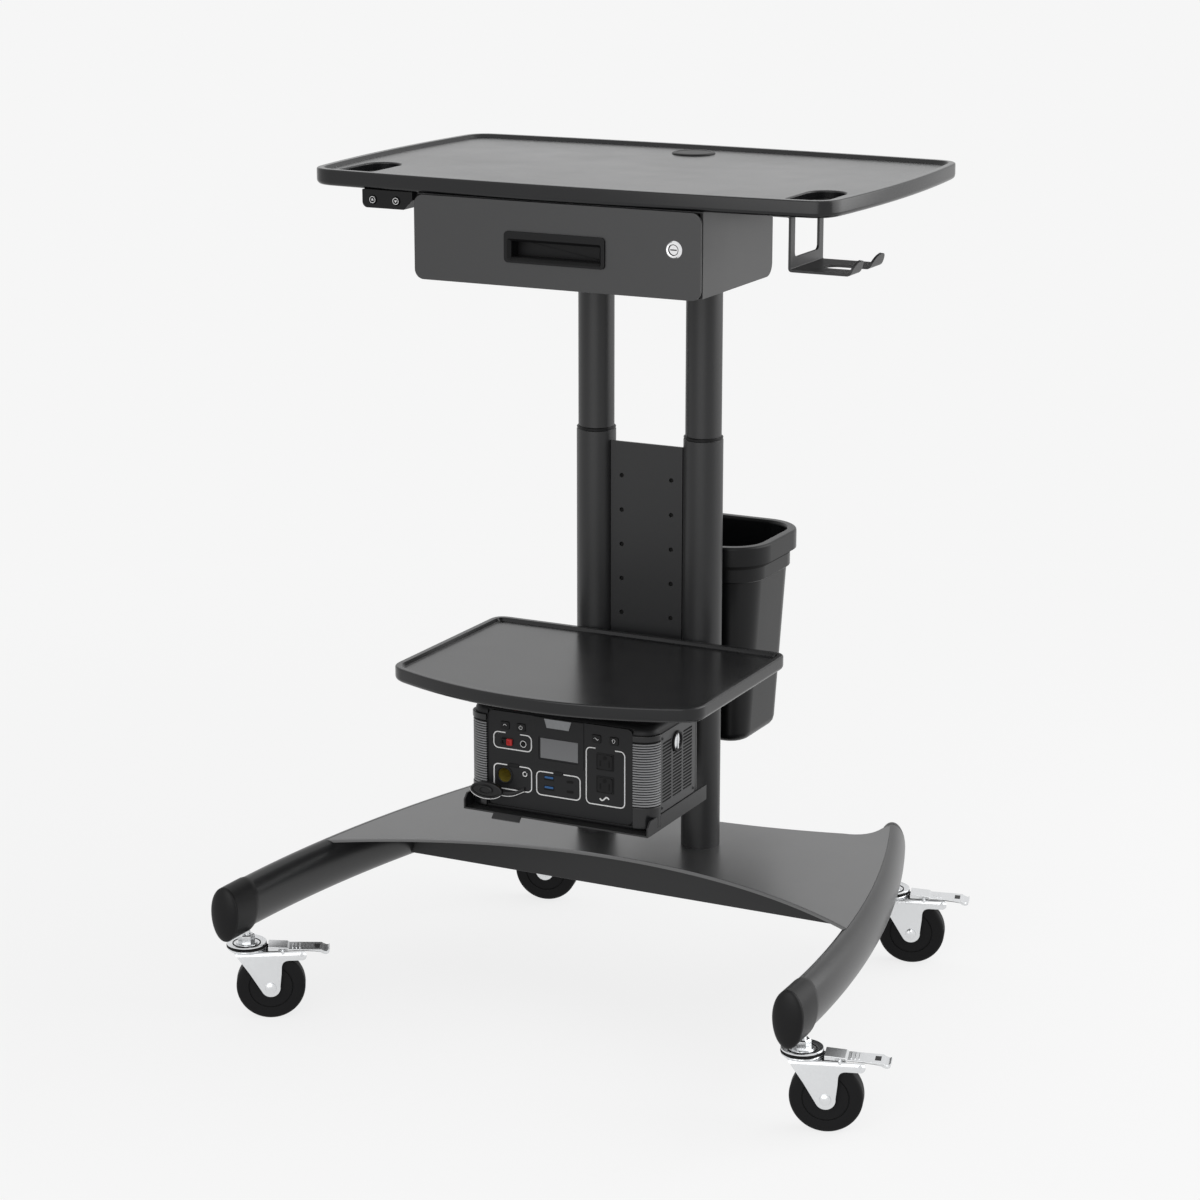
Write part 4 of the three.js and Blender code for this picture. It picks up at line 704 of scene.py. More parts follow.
def dress_frame():
    """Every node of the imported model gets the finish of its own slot."""
    slots = {part["node"]: part["material_slot"] for part in frame["record"]["subparts"]}
    for node, obj in frame["nodes"].items():
        obj.data.materials.clear()
        obj.data.materials.append(MATERIALS[slots[node]])


# Mesh helpers


def new_object(name, data):
    obj = bpy.data.objects.new(name, data)
    bpy.context.scene.collection.objects.link(obj)
    return obj


def mesh_object(name, bm):
    mesh = bpy.data.meshes.new(name)
    bm.to_mesh(mesh)
    bm.free()
    return new_object(name, mesh)


def finish_piece(name, bm, finish, body, nodes=(), place=None, sharp=32.0, bevel=0.0):
    """Puts a drawn shape in its place as a finished piece."""
    bmesh.ops.remove_doubles(bm, verts=bm.verts, dist=WELDED)
    bmesh.ops.recalc_face_normals(bm, faces=bm.faces)
    bmesh.ops.transform(bm, matrix=place or Matrix.Translation(MIDDLE), verts=bm.verts)
    obj = mesh_object(name, bm)
    obj.data.materials.append(MATERIALS[finish])
    obj.data.shade_smooth()
    obj.data.set_sharp_from_angle(angle=math.radians(sharp))
    if bevel:
        edge = obj.modifiers.new("edge", "BEVEL")
        edge.width = bevel
        edge.segments = 2
        edge.limit_method = "ANGLE"
        edge.angle_limit = math.radians(sharp)
        edge.harden_normals = True
    else:
        even = obj.modifiers.new("even", "WEIGHTED_NORMAL")
        even.keep_sharp = True
    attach(obj, body)
    if nodes:
        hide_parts(*nodes)
    return obj


def arc(x, y, radius, start, end, steps):
    """Points of an arc, in degrees from start to end."""
    turns = [math.radians(start + (end - start) * i / steps) for i in range(steps + 1)]
    return [(x + radius * math.cos(t), y + radius * math.sin(t)) for t in turns]


def rounded(x0, y0, x1, y1, radius, steps=6):
    """A rectangle with rounded corners, given by two of them."""
    corners = ((x1 - radius, y0 + radius), (x1 - radius, y1 - radius))
    corners += ((x0 + radius, y1 - radius), (x0 + radius, y0 + radius))
    outline = []
    for turn, (x, y) in enumerate(corners):
        outline += arc(x, y, radius, 90 * turn - 90, 90 * turn, steps)
    return outline


def rounded_about(x, y, half_x, half_y, radius, steps=6):
    return rounded(x - half_x, y - half_y, x + half_x, y + half_y, radius, steps)


def front_view(low, high, grow=0):
    """The left, lowest, right and highest place of a box, some way outside it."""
    return low.x - grow, low.z - grow, high.x + grow, high.z + grow


def mirrored(points):
    """The outline's other half, on the far side of x = 0 and in reverse order."""
    return [(-x, y) for x, y in points[::-1]]


def closed(profile):
    return profile + profile[:1]


def inset_from(x, z, steps):
    """Points given as an inset from x and a rise from z."""
    return [(x - inset, z + rise) for inset, rise in steps]


def flat(axis, points, at):
    """An outline in the plane square to an axis: (y, z), (x, z) or (x, y) points."""
    if axis == "x":
        return [Vector((at, a, b)) for a, b in points]
    if axis == "y":
        return [Vector((a, at, b)) for a, b in points]
    return [Vector((a, b, at)) for a, b in points]


def new_face(bm, points):
    return bm.faces.new([bm.verts.new(p) for p in points])


def slab(axis, points, start, end):
    """A closed solid: an outline square to an axis, drawn out from start to end."""
    bm = bmesh.new()
    face = new_face(bm, flat(axis, points, start))
    made = bmesh.ops.extrude_face_region(bm, geom=[face])["geom"]
    verts = [item for item in made if isinstance(item, bmesh.types.BMVert)]
    bmesh.ops.translate(bm, verts=verts, vec=flat(axis, [(0, 0)], end - start)[0])
    bmesh.ops.recalc_face_normals(bm, faces=bm.faces)
    return bm


def block(low, high):
    bm = bmesh.new()
    size = [b - a for a, b in zip(low, high)]
    middle = [(a + b) / 2 for a, b in zip(low, high)]
    bmesh.ops.create_cube(bm, size=1, matrix=Matrix.LocRotScale(middle, None, size))
    return bm


TURN_TO = {
    "x": Matrix.Rotation(math.pi / 2, 4, "Y"),
    "y": Matrix.Rotation(-math.pi / 2, 4, "X"),
    "z": Matrix.Identity(4),
}


def lathe(profile, place=(0, 0, 0), axis="z", steps=48):
    """A profile of (radius, height) points turned about an axis, with its heights along that axis."""
    bm = bmesh.new()
    verts = [bm.verts.new((radius, 0, height)) for radius, height in profile]
    edges = [bm.edges.new(pair) for pair in zip(verts, verts[1:])]
    turn = {"cent": (0, 0, 0), "axis": (0, 0, 1), "angle": 2 * math.pi}
    bmesh.ops.spin(bm, geom=verts + edges, steps=steps, use_merge=True, **turn)
    bmesh.ops.remove_doubles(bm, verts=bm.verts, dist=WELDED)
    bmesh.ops.recalc_face_normals(bm, faces=bm.faces)
    bmesh.ops.transform(bm, matrix=Matrix.Translation(place) @ TURN_TO[axis], verts=bm.verts)
    return bm


def rod(radius, start, end, place, axis, steps):
    return lathe([(0, start), (radius, start), (radius, end), (0, end)], place, axis, steps)


def pipe(outer, inner, start, end, place=(0, 0, 0), axis="z", steps=48):
    profile = [(outer, start), (outer, end), (inner, end), (inner, start)]
    return lathe(closed(profile), place, axis, steps)


def joined(*parts):
    """Several drawn shapes as one."""
    bm = bmesh.new()
    for part in parts:
        mesh = bpy.data.meshes.new("part")
        part.to_mesh(mesh)
        part.free()
        bm.from_mesh(mesh)
        bpy.data.meshes.remove(mesh)
    return bm


def combined(operation, bm, others):
    """The first shape with the others cut out of it or added to it, one after another."""
    objects = [mesh_object("loose", shape) for shape in (bm, *others)]
    for other in objects[1:]:
        step = objects[0].modifiers.new("step", "BOOLEAN")
        step.operation = operation
        step.solver = "EXACT"
        step.object = other
    left = bmesh.new()
    left.from_object(objects[0], bpy.context.evaluated_depsgraph_get())
    for obj in objects:
        mesh = obj.data
        bpy.data.objects.remove(obj)
        bpy.data.meshes.remove(mesh)
    return left


def carved(bm, *tools):
    return combined("DIFFERENCE", bm, tools)


def united(bm, *others):
    return combined("UNION", bm, others)


def stepped(points, ups, downs=(), up=(0, 0, 1)):
    """A solid grown from an outline: each step narrows the cap by an inset and moves it outwards."""
    bm = bmesh.new()
    face = new_face(bm, points)
    face.normal_update()
    up = Vector(up)
    if face.normal.dot(up) < 0:
        face.normal_flip()
    grow(bm, face, ups)
    edges = [edge for edge in bm.edges if edge.is_boundary]
    under = bmesh.ops.holes_fill(bm, edges=edges, sides=0)["faces"][0]
    under.normal_update()
    if under.normal.dot(up) > 0:
        under.normal_flip()
    grow(bm, under, downs)
    return bm


def facing(points, y, ups, downs=()):
    """A stepped solid that grows to the front."""
    return stepped(flat("y", points, y), ups, downs, (0, -1, 0))


def grow(bm, face, steps):
    for inset, rise in steps:
        bmesh.ops.inset_individual(bm, faces=[face], thickness=inset, depth=rise, use_even_offset=True)


def rounding(radius, steps=4):
    """Steps of inset and rise that follow a quarter circle, from upright to level."""
    turns = [math.pi / 2 * i / steps for i in range(steps + 1)]
    spots = [(radius * (1 - math.cos(t)), radius * math.sin(t)) for t in turns]
    return [(b[0] - a[0], b[1] - a[1]) for a, b in zip(spots, spots[1:])]


def bulged(corners, bulges, radius, side_steps=14, corner_steps=8):
    """A four-sided outline whose sides bulge and whose corners are rounded."""
    corners = [Vector(corner) for corner in corners]

    def along(i, t):
        start, end = corners[i % 4], corners[(i + 1) % 4]
        run = end - start
        out = Vector((run.y, -run.x)).normalized()
        return start + run * t + out * bulges[i % 4] * (1 - (2 * t - 1) ** 2)

    def trim(i):
        return radius / (corners[(i + 1) % 4] - corners[i % 4]).length

    outline = []
    for i in range(4):
        share = trim(i)
        outline += [along(i, share + (1 - 2 * share) * k / side_steps) for k in range(side_steps + 1)]
        start, middle, end = along(i, 1 - share), corners[(i + 1) % 4], along(i + 1, trim(i + 1))
        outline += [Vector(point) for point in bend(start, middle, end, corner_steps)[1:-1]]
    return [(p.x, p.y) for p in outline]


def soften(bm, width, angle):
    """Rounds every edge that is sharper than an angle."""
    sharp = [edge for edge in bm.edges if edge.calc_face_angle(0) > math.radians(angle)]
    how = {"segments": 3, "profile": 0.5, "affect": "EDGES", "clamp_overlap": True, "material": -1}
    bmesh.ops.bevel(bm, geom=sharp, offset=width, **how)
    return bm


def ribbon(line, thick):
    """The outline of a bent strip that follows a line of points."""
    line = [Vector(p) for p in line]
    sides = ([], [])
    for i, point in enumerate(line):
        before, after = line[max(i - 1, 0)], line[min(i + 1, len(line) - 1)]
        first = (point - before if i else after - point).normalized()
        second = (after - point if i + 1 < len(line) else first).normalized()
        normal = Vector((-first.y - second.y, first.x + second.x)).normalized()
        lean = normal.dot(Vector((-first.y, first.x)))
        for side, sign in zip(sides, (1, -1)):
            side.append(point + normal * (sign * thick / 2 / lean))
    return [(p.x, p.y) for p in sides[0] + sides[1][::-1]]


def bend(start, middle, end, steps=8):
    """Points on a curve from start to end that leans towards the middle point."""
    shares = [((1 - t) ** 2, 2 * t * (1 - t), t ** 2) for t in (k / steps for k in range(steps + 1))]
    spots = list(zip(start, middle, end))
    return [tuple(a * u + b * v + c * w for a, b, c in spots) for u, v, w in shares]


def skinned(bm, loops):
    """A skin over rings of edges, closed at both ends."""
    for first, second in zip(loops, loops[1:]):
        bmesh.ops.bridge_loops(bm, edges=first + second)
    for loop in (loops[0], loops[-1]):
        bmesh.ops.holes_fill(bm, edges=loop, sides=0)
    return bm


def ring_of(bm, sides, put):
    """A ring of edges whose points are put in place from where they lie on a unit circle."""
    verts = bmesh.ops.create_circle(bm, segments=sides, radius=1.0)["verts"]
    for vert in verts:
        vert.co = put(vert.co.x, vert.co.y)
    return list({edge for vert in verts for edge in vert.link_edges})


def strand(points, deep, high, sides):
    """A thin closed strand along points in space, square to x."""
    bm = bmesh.new()
    loops = []
    for x, y, z in points:
        loops.append(ring_of(bm, sides, lambda a, b: (x, y + a * deep, z + b * high)))
    return skinned(bm, loops)


# Base


def leg_x(y):
    return LEG_REACH - LEG_ARC + math.sqrt(LEG_ARC ** 2 - (y - LEG_REACH_Y) ** 2)


def leg_run(y):
    return LEG_ARC * math.asin((y - LEG_REACH_Y) / LEG_ARC)


def leg_loft(rings, sign):
    """A skin over rings square to the leg's line, given as (run, half width, height up, height down)."""
    bm = bmesh.new()
    loops = []
    for run, half_width, up, down in rings:
        out = Vector((math.cos(run / LEG_ARC), math.sin(run / LEG_ARC), 0))
        centre = Vector((LEG_REACH - LEG_ARC, LEG_REACH_Y, LEG_MIDDLE_Z)) + out * LEG_ARC

        def put(a, b):
            spot = centre + out * (a * half_width) + Vector((0, 0, b * (up if b > 0 else down)))
            spot.x *= sign
            return spot

        loops.append(ring_of(bm, LEG_SIDES, put))
    return skinned(bm, loops)


def leg_shape(sign):
    steps = 40
    start, end = leg_run(LEG_FRONT_Y), leg_run(LEG_BACK_Y)
    return leg_loft([(start + (end - start) * i / steps, *LEG_SIZE) for i in range(steps + 1)], sign)


def dome_rings(seam, depth, size, steps=9):
    rings = []
    for i in range(steps + 1):
        turn = math.pi / 2 * i / steps
        shrink = max(math.cos(turn), DOME_END)
        rings.append((seam + depth * math.sin(turn), *[value * shrink for value in size]))
    return rings


def sunk(size):
    return [value - CAP_GROOVE for value in size]


def front_sleeve_shape(sign):
    start, end = leg_run(CAP_SLEEVE_Y), leg_run(CAP_SEAM_Y)
    lead, steps = 8, 6
    rings = []
    for k in range(lead + 1):
        share = math.sin(math.pi / 2 * k / lead)
        size = [a + (b - a) * share for a, b in zip(sunk(LEG_SIZE), CAP_SIZE)]
        rings.append((start + CAP_LEAD * (1 - k / lead), *size))
    rings += [(start + (end - start) * i / steps, *CAP_SIZE) for i in range(1, steps + 1)]
    return leg_loft(rings, sign)


def front_dome_shape(sign):
    seam = leg_run(CAP_SEAM_Y)
    ahead, neck = seam - CAP_GROOVE, sunk(CAP_SIZE)
    rings = [(seam + CAP_GROOVE, *neck), (ahead, *neck), (ahead, *CAP_SIZE)]
    rings += dome_rings(seam - 2 * CAP_GROOVE, CAP_GROOVE - CAP_FRONT_DOME, CAP_SIZE)
    return leg_loft(rings, sign)


def back_cap_shape(sign):
    seam = leg_run(LEG_BACK_Y)
    behind, neck = seam + CAP_GROOVE, sunk(LEG_SIZE)
    rings = [(seam - CAP_GROOVE, *neck), (behind, *neck)]
    return leg_loft(rings + dome_rings(behind, CAP_BACK_DOME - CAP_GROOVE, LEG_SIZE), sign)


LEG_PIECES = [
    ("leg_tube", leg_shape, "leg_paint", "leg"),
    ("cap_sleeve", front_sleeve_shape, "black_plastic", None),
    ("cap_dome", front_dome_shape, "black_plastic", "front_cap"),
    ("cap_back", back_cap_shape, "black_plastic", "back_cap"),
]


def plate_outline():
    steps = 24
    span = PLATE_BACK_CORNER_Y - PLATE_FRONT_CORNER_Y
    heights = [PLATE_FRONT_CORNER_Y + span * i / steps for i in range(steps + 1)]
    side = [(leg_x(y) - PLATE_INSET, y) for y in heights]
    lean = math.degrees(math.asin((PLATE_FILLET_X - PLATE_FILLET_RUN) / PLATE_BACK_ARC))
    back = arc(0, PLATE_BACK_MIDDLE_Y + PLATE_BACK_ARC, PLATE_BACK_ARC, -90 + lean, -90 - lean, 32)
    knee = (PLATE_FILLET_X - PLATE_INSET, back[0][1] + PLATE_INSET)
    fillet = bend((PLATE_FILLET_X, PLATE_FILLET_Y), knee, back[0])
    front_x, sag = side[0][0], PLATE_FRONT_MIDDLE_Y - PLATE_FRONT_CORNER_Y
    front_arc = (front_x ** 2 + sag ** 2) / (2 * sag)
    lean = math.degrees(math.asin(front_x / front_arc))
    front = arc(0, PLATE_FRONT_MIDDLE_Y - front_arc, front_arc, 90 + lean, 90 - lean, 40)
    return side + fillet[:-1] + back[:-1] + mirrored(fillet) + mirrored(side) + front[1:-1]


def add_base():
    low, high = inside("base_plate")
    rise = [(0, PLATE_THICK / 2 - PLATE_EDGE)] + rounding(PLATE_EDGE, 2)
    plate = stepped(flat("z", plate_outline(), (low.z + high.z) / 2), rise, rise)
    finish_piece("base_plate_sheet", plate, "plate_grey", "base", ["base_plate"])
    low, high = inside("cross_beam")
    across = [(leg_x(y), y) for y in (-BEAM_HALF_DEPTH, 0, BEAM_HALF_DEPTH)]
    beam = slab("z", across + mirrored(across), low.z, high.z)
    finish_piece("cross_beam_box", beam, "black_steel", "base", ["cross_beam"], bevel=BEAM_EDGE)
    for side, sign in SIDES:
        for name, shape, finish, node in LEG_PIECES:
            nodes = [f"{node}_{side}"] if node else ()
            finish_piece(f"{name}_{side}", shape(sign), finish, "base", nodes, sharp=60)


# Columns


def add_columns():
    for side, _ in SIDES:
        low, high = inside(f"outer_column_{side}")
        place, radius = ((low.x + high.x) / 2, 0, 0), (high.x - low.x) / 2
        bore, soft = radius - COLUMN_WALL, COLUMN_CHAMFER
        tube = [(radius, low.z), (radius, high.z - soft), (radius - soft, high.z)]
        tube += [(bore, high.z), (bore, low.z)]
        tube = lathe(closed(tube), place, steps=64)
        finish_piece(f"outer_tube_{side}", tube, "black_steel", "base", [f"outer_column_{side}"])
        inner_low, inner_high = inside(f"inner_column_{side}")
        inner = (inner_high.x - inner_low.x) / 2
        low, high = inside(f"column_collar_{side}")
        cuff, slide = (high.x - low.x) / 2, inner + CLEAR
        collar = [(slide, low.z + SNUG)] + inset_from(cuff, low.z, COLLAR_FOOT)
        collar += inset_from(cuff, high.z, COLLAR_HEAD) + [(slide, high.z)]
        collar = lathe(closed(collar), place, steps=64)
        finish_piece(f"collar_ring_{side}", collar, "black_plastic", "base", [f"column_collar_{side}"])
        tube = pipe(inner, inner - INNER_WALL, inner_low.z, inner_high.z, place, steps=64)
        finish_piece(f"inner_tube_{side}", tube, "black_steel", "lift", [f"inner_column_{side}"])
    low, high = inside("column_plate")
    holes, hole_shades = [], []
    for row in range(PLATE_HOLE_ROWS):
        z = high.z - PLATE_HOLE_DROP - row * PLATE_HOLE_PITCH
        for x in (low.x + PLATE_HOLE_INSET, high.x - PLATE_HOLE_INSET):
            at = ((x, 0, z), "y", 20)
            holes.append(rod(PLATE_HOLE_RADIUS, low.y - OVER, high.y + OVER, *at))
            hole_shades.append(rod(PLATE_HOLE_RADIUS - SNUG, high.y - PLATE_HOLE_SHADE_DEPTH, high.y, *at))
    plate = carved(block(low, high), *holes)
    finish_piece("perforated_plate", plate, "black_steel", "base", ["column_plate"], bevel=SHEET_EDGE)
    # Dark discs at the back of the holes paint the shade seen through them
    finish_piece("plate_hole_shade", joined(*hole_shades), "painted_shade_black", "base")


# Worktop and lower shelf


def board_corners(front_half, back_half, front, back):
    return [(-front_half, front), (front_half, front), (back_half, back), (-back_half, back)]


def board(outline, low, high, rim, slope):
    """A board with a raised rim round its top panel and a rounded lower edge."""
    soft = SOFT_EDGE
    ups = [(0, high.z - low.z - UNDER_ROUND - BOARD_EDGE)] + rounding(BOARD_EDGE)
    ups += [(rim - BOARD_EDGE - soft, 0), (soft, -soft / 3)]
    ups += [(slope, soft - PANEL_DROP), (soft, -2 * soft / 3)]
    return stepped(flat("z", outline, low.z + UNDER_ROUND), ups, rounding(UNDER_ROUND))


def recess_tool(x, panel):
    """The space of a cup recess, wide at the top, with a rounded lip and floor."""
    lip, over = RECESS_LIP, PANEL_DROP
    outline = arc(x, RECESS_Y + RECESS_STRAIGHT, RECESS_RADIUS + lip, 0, 180, 20)
    outline += arc(x, RECESS_Y - RECESS_STRAIGHT, RECESS_RADIUS + lip, 180, 360, 20)
    downs = [(0, over)] + rounding(lip)[::-1] + [(0, RECESS_DEPTH - 2 * lip)] + rounding(lip)
    return stepped(flat("z", outline, panel + over), [(0, over)], downs)


def add_worktop():
    low, high = inside("worktop")
    half, panel, place = high.x - DESK_SIDE_BULGE, high.z - PANEL_DROP, (0, GROMMET_Y, 0)
    front, back = low.y + DESK_FRONT_BULGE, high.y - DESK_BACK_BULGE
    corners = board_corners(half, half - DESK_BACK_NARROWER, front, back)
    bulges = [DESK_FRONT_BULGE, DESK_SIDE_BULGE, DESK_BACK_BULGE, DESK_SIDE_BULGE]
    desk = board(bulged(corners, bulges, DESK_CORNER), low, high, DESK_RIM, DESK_RIM_SLOPE)
    tools = [recess_tool(x, panel) for x in (RECESS_INSET - half, half - RECESS_INSET)]
    tools.append(rod(GROMMET_HOLE, low.z - OVER, high.z + OVER, place, "z", 40))
    finish_piece("worktop_board", carved(desk, *tools), "desk_board", "lift", ["worktop"], sharp=40)
    low, high = inside("grommet_cap")
    radius, bore = (high.x - low.x) / 2, GROMMET_HOLE - LID_CLEAR
    lid = [(0, high.z - LID_DISH)] + inset_from(radius, high.z, LID_TOP)
    lid += [(radius, panel + CLEAR), (radius, panel + SNUG), (bore, panel + SNUG), (bore, low.z), (0, low.z)]
    lid = lathe(lid, place, steps=64)
    finish_piece("grommet_lid", lid, "black_plastic", "lift", ["grommet_cap"], sharp=25)


def add_shelf():
    low, high = inside("lower_shelf")
    corners = board_corners(high.x, high.x - SHELF_BACK_NARROWER, low.y + SHELF_BULGE, high.y)
    outline = bulged(corners, [SHELF_BULGE, 0, 0, 0], SHELF_CORNER, 20)
    shelf = board(outline, low, high, SHELF_RIM, SHELF_RIM_SLOPE)
    finish_piece("shelf_board", shelf, "desk_board", "base", ["lower_shelf"], sharp=40)


# Height switch


def add_switch():
    low, high = inside("height_switch")
    outline = [(low.x, high.z)]
    outline += arc(low.x + SWITCH_ROUND, low.z + SWITCH_ROUND, SWITCH_ROUND, 180, 270, 8)
    outline += [(high.x - SWITCH_BEVEL, low.z), (high.x, low.z + SWITCH_BEVEL), (high.x, high.z)]
    wells, marks = [], {}
    for name, sign in (("raise_button", 1), ("lower_button", -1)):
        b_low, b_high = inside(name)
        x, z, radius = (b_low.x + b_high.x) / 2, (b_low.z + b_high.z) / 2, (b_high.x - b_low.x) / 2
        face, back, at = b_low.y, b_high.y, ((x, 0, z), "y", 32)
        wells.append(rod(radius + CLEAR, low.y - OVER, back + BUTTON_WELL, *at))
        cap = [(0, face)] + inset_from(radius, face, BUTTON_EDGE) + [(radius, back), (0, back)]
        finish_piece(f"{name}_cap", lathe(cap, *at), "black_plastic", name, [name])
        ring = pipe(BUTTON_RING, BUTTON_RING - BUTTON_RING_WIDTH, face - MARK_PROUD, face + MARK_PROUD, *at)
        size = BUTTON_ARROW
        arrow = [(x + size * math.cos(t), z + sign * size * math.sin(t)) for t in ARROW_CORNERS]
        marks[name] = joined(ring, slab("y", arrow, face, face - MARK_PROUD))
    case = carved(slab("y", outline, low.y, high.y), *wells)
    finish_piece("switch_case", case, "black_plastic", "lift", ["height_switch"], bevel=SOFT_EDGE)
    for name, mark in marks.items():
        finish_piece(f"{name}_mark", mark, "print_and_highlight_white", name)


# Accessory hook


def add_hook():
    low, high = inside("accessory_hook")
    fold_z, level, turn = low.z + HOOK_THICK / 2, high.z - HOOK_THICK / 2, HOOK_BEND
    plate_x, tip_x, tip_z = low.x + HOOK_FLANGE, high.x, high.z - HOOK_TIP_DROP
    line = [(low.x, level)] + bend((plate_x - turn, level), (plate_x, level), (plate_x, level - turn), 4)
    line += bend((plate_x, fold_z + turn), (plate_x, fold_z), (plate_x + turn, fold_z), 4)
    heel, toe = (tip_x - HOOK_HEEL, fold_z), (tip_x - HOOK_THICK / 2, tip_z)
    rise = [a + (b - a) * HOOK_TURN for a, b in zip(heel, toe)]
    line += bend((heel[0] - turn, fold_z), heel, rise, 6) + [toe]
    strip = slab("y", ribbon(line, HOOK_THICK), low.y, high.y)
    window = rounded(
        low.y + HOOK_STRIP, fold_z + HOOK_SILL, high.y - HOOK_STRIP, high.z + 2 * OVER, HOOK_CORNER
    )
    window = [(y, min(z, high.z - HOOK_THICK)) for y, z in window]
    slot_front, half = low.y + HOOK_PRONG, HOOK_SLOT_WIDTH / 2
    slot_back = slot_front + HOOK_SLOT_WIDTH
    slot = arc(plate_x + HOOK_SLOT_REACH + half, slot_front + half, half, 90, 270, 14)
    slot += [(high.x + OVER, slot_front), (high.x + OVER, slot_back)]
    tools = [slab("x", window, plate_x - OVER, plate_x + OVER), slab("z", slot, low.z - OVER, tip_z + OVER)]
    for y0, y1 in ((low.y, slot_front), (slot_back, high.y)):
        tools += tip_corners(y0, y1, tip_z, tip_x)
    hook = carved(strip, *tools)
    finish_piece("hook_strip", hook, "black_steel", "lift", ["accessory_hook"], bevel=SHEET_EDGE)


def tip_corners(y0, y1, top, x):
    """Cutters that round the two upper corners of a prong, seen along x."""
    radius = (y1 - y0) * HOOK_TIP_SHARE
    tools = []
    for y, sign in ((y0, 1), (y1, -1)):
        edge = arc(y + sign * radius, top - radius, radius, 90, 180 if sign > 0 else 0, 8)
        edge += [(y - sign * OVER, top - radius), (y - sign * OVER, top + OVER), (edge[0][0], top + OVER)]
        tools.append(slab("x", edge, x - HOOK_CURL, x + OVER))
    return tools


# Drawer


def add_drawer():
    low, high = inside("drawer_case")
    start, wall, top = low.y + CASE_GAP, CASE_WALL, high.z - CASE_WALL
    turn_y, turn_z, lead = high.y - CASE_ROUND, low.z + CASE_ROUND, low.y - 2 * OVER
    section = [(start, low.z), *arc(turn_y, turn_z, CASE_ROUND, -90, 0, 8), (high.y, high.z), (start, high.z)]
    hollow = [(lead, low.z + wall), *arc(turn_y, turn_z, CASE_ROUND - wall, -90, 0, 8)]
    hollow += [(high.y - wall, top), (lead, top)]
    shell = slab("x", section, low.x, high.x)
    space = slab("x", hollow, low.x + wall, high.x - wall)
    # A near-black block in the gap between the front and the case paints the shade in that gap
    inset = CASE_SHADE_INSET
    neck = block((low.x + inset, low.y, low.z + inset), (high.x - inset, start, high.z - inset))
    finish_piece("drawer_gap_shade", carved(neck, space.copy()), "painted_shade_black", "lift")
    shell = carved(shell, space)
    finish_piece("drawer_shell", shell, "drawer_paint", "lift", ["drawer_case"], bevel=SOFT_EDGE)
    lock_low, lock_high = inside("drawer_lock")
    lock = Vector((lock_low.x + LOCK_CAM, 0, (lock_low.z + lock_high.z) / 2))
    keeper_y = low.y + KEEPER_SETBACK
    keeper = block(
        (lock.x - KEEPER_HALF, keeper_y, top - KEEPER_DROP),
        (lock.x + KEEPER_HALF, keeper_y + KEEPER_THICK, top + wall / 2),
    )
    finish_piece("lock_keeper", keeper, "zinc", "lift", bevel=FINE_EDGE)
    add_drawer_front(lock)
    add_drawer_box()
    add_lock(lock_low, lock_high, lock)


def add_drawer_front(lock):
    low, high = inside("drawer_front")
    pull_low, pull_high = inside("drawer_pull")
    rise = [(0, (high.y - low.y) / 2 - SOFT_EDGE)] + rounding(SOFT_EDGE, 2)
    outline = rounded(*front_view(low, high), FRONT_ROUND, 10)
    sheet = facing(outline, (low.y + high.y) / 2, rise, rise)
    x0, x1, z0 = pull_low.x + PULL_BORDER, pull_high.x - PULL_BORDER, pull_low.z + PULL_SILL
    z1 = z0 + PULL_MOUTH_HEIGHT
    wall = PULL_WALL + CLEAR
    opening = block((x0 - wall, low.y - OVER, z0 - wall), (x1 + wall, high.y + OVER, z1 + wall))
    hole = rod(LOCK_RADIUS + LOCK_CLEAR, low.y - OVER, high.y + OVER, lock, "y", 40)
    finish_piece("front_sheet", carved(sheet, opening, hole), "drawer_paint", "drawer", ["drawer_front"])
    # The pull: a bezel whose inner faces slope back to the mouth, and a pocket behind it
    rise = [(0, low.y - pull_low.y - SOFT_EDGE)] + rounding(SOFT_EDGE, 2)
    bezel = facing(rounded(*front_view(pull_low, pull_high), PULL_ROUND), low.y, rise)
    slope, wall = PULL_SLOPE, PULL_WALL
    mouth = rounded(x0 - slope, z0 - slope, x1 + slope, z1 + slope, PULL_MOUTH_ROUND, 4)
    deep = pull_high.y - wall - pull_low.y + PULL_LEAD - PULL_LIP - PULL_SLOPE_DEPTH
    downs = [(0, PULL_LIP), (slope, PULL_SLOPE_DEPTH), (0, deep)]
    funnel = facing(mouth, pull_low.y - PULL_LEAD, [(0, PULL_LEAD)], downs)
    pocket = block((x0 - wall, low.y - PULL_OVERLAP, z0 - wall), (x1 + wall, pull_high.y, z1 + wall))
    pull = carved(united(bezel, pocket), funnel)
    finish_piece("pull_cup", pull, "black_plastic", "drawer", ["drawer_pull"], sharp=28)


def add_drawer_box():
    low, high = inside("drawer_box")
    rail_low, rail_high = inside("drawer_rail_left")
    wall, x0, x1 = BOX_WALL, low.x + BOX_TONGUE, high.x - BOX_TONGUE
    z = (rail_low.z + rail_high.z) / 2
    tray = block((x0, low.y, low.z), (x1, high.y, high.z))
    space = block((x0 + wall, low.y - OVER, low.z + wall), (x1 - wall, high.y - wall, high.z + OVER))
    parts = [carved(tray, space)]
    for a, b in ((low.x, x0), (x1, high.x)):
        parts.append(block((a, rail_low.y, z - RUNNER_HALF), (b, high.y, z + RUNNER_HALF)))
    finish_piece("drawer_tray", joined(*parts), "drawer_paint", "drawer", ["drawer_box"], bevel=SHEET_EDGE)


def key_slot(lock, start, end):
    half, rise = KEY_SLOT_SIZE
    return block((lock.x - half, start, lock.z - rise), (lock.x + half, end, lock.z + rise))


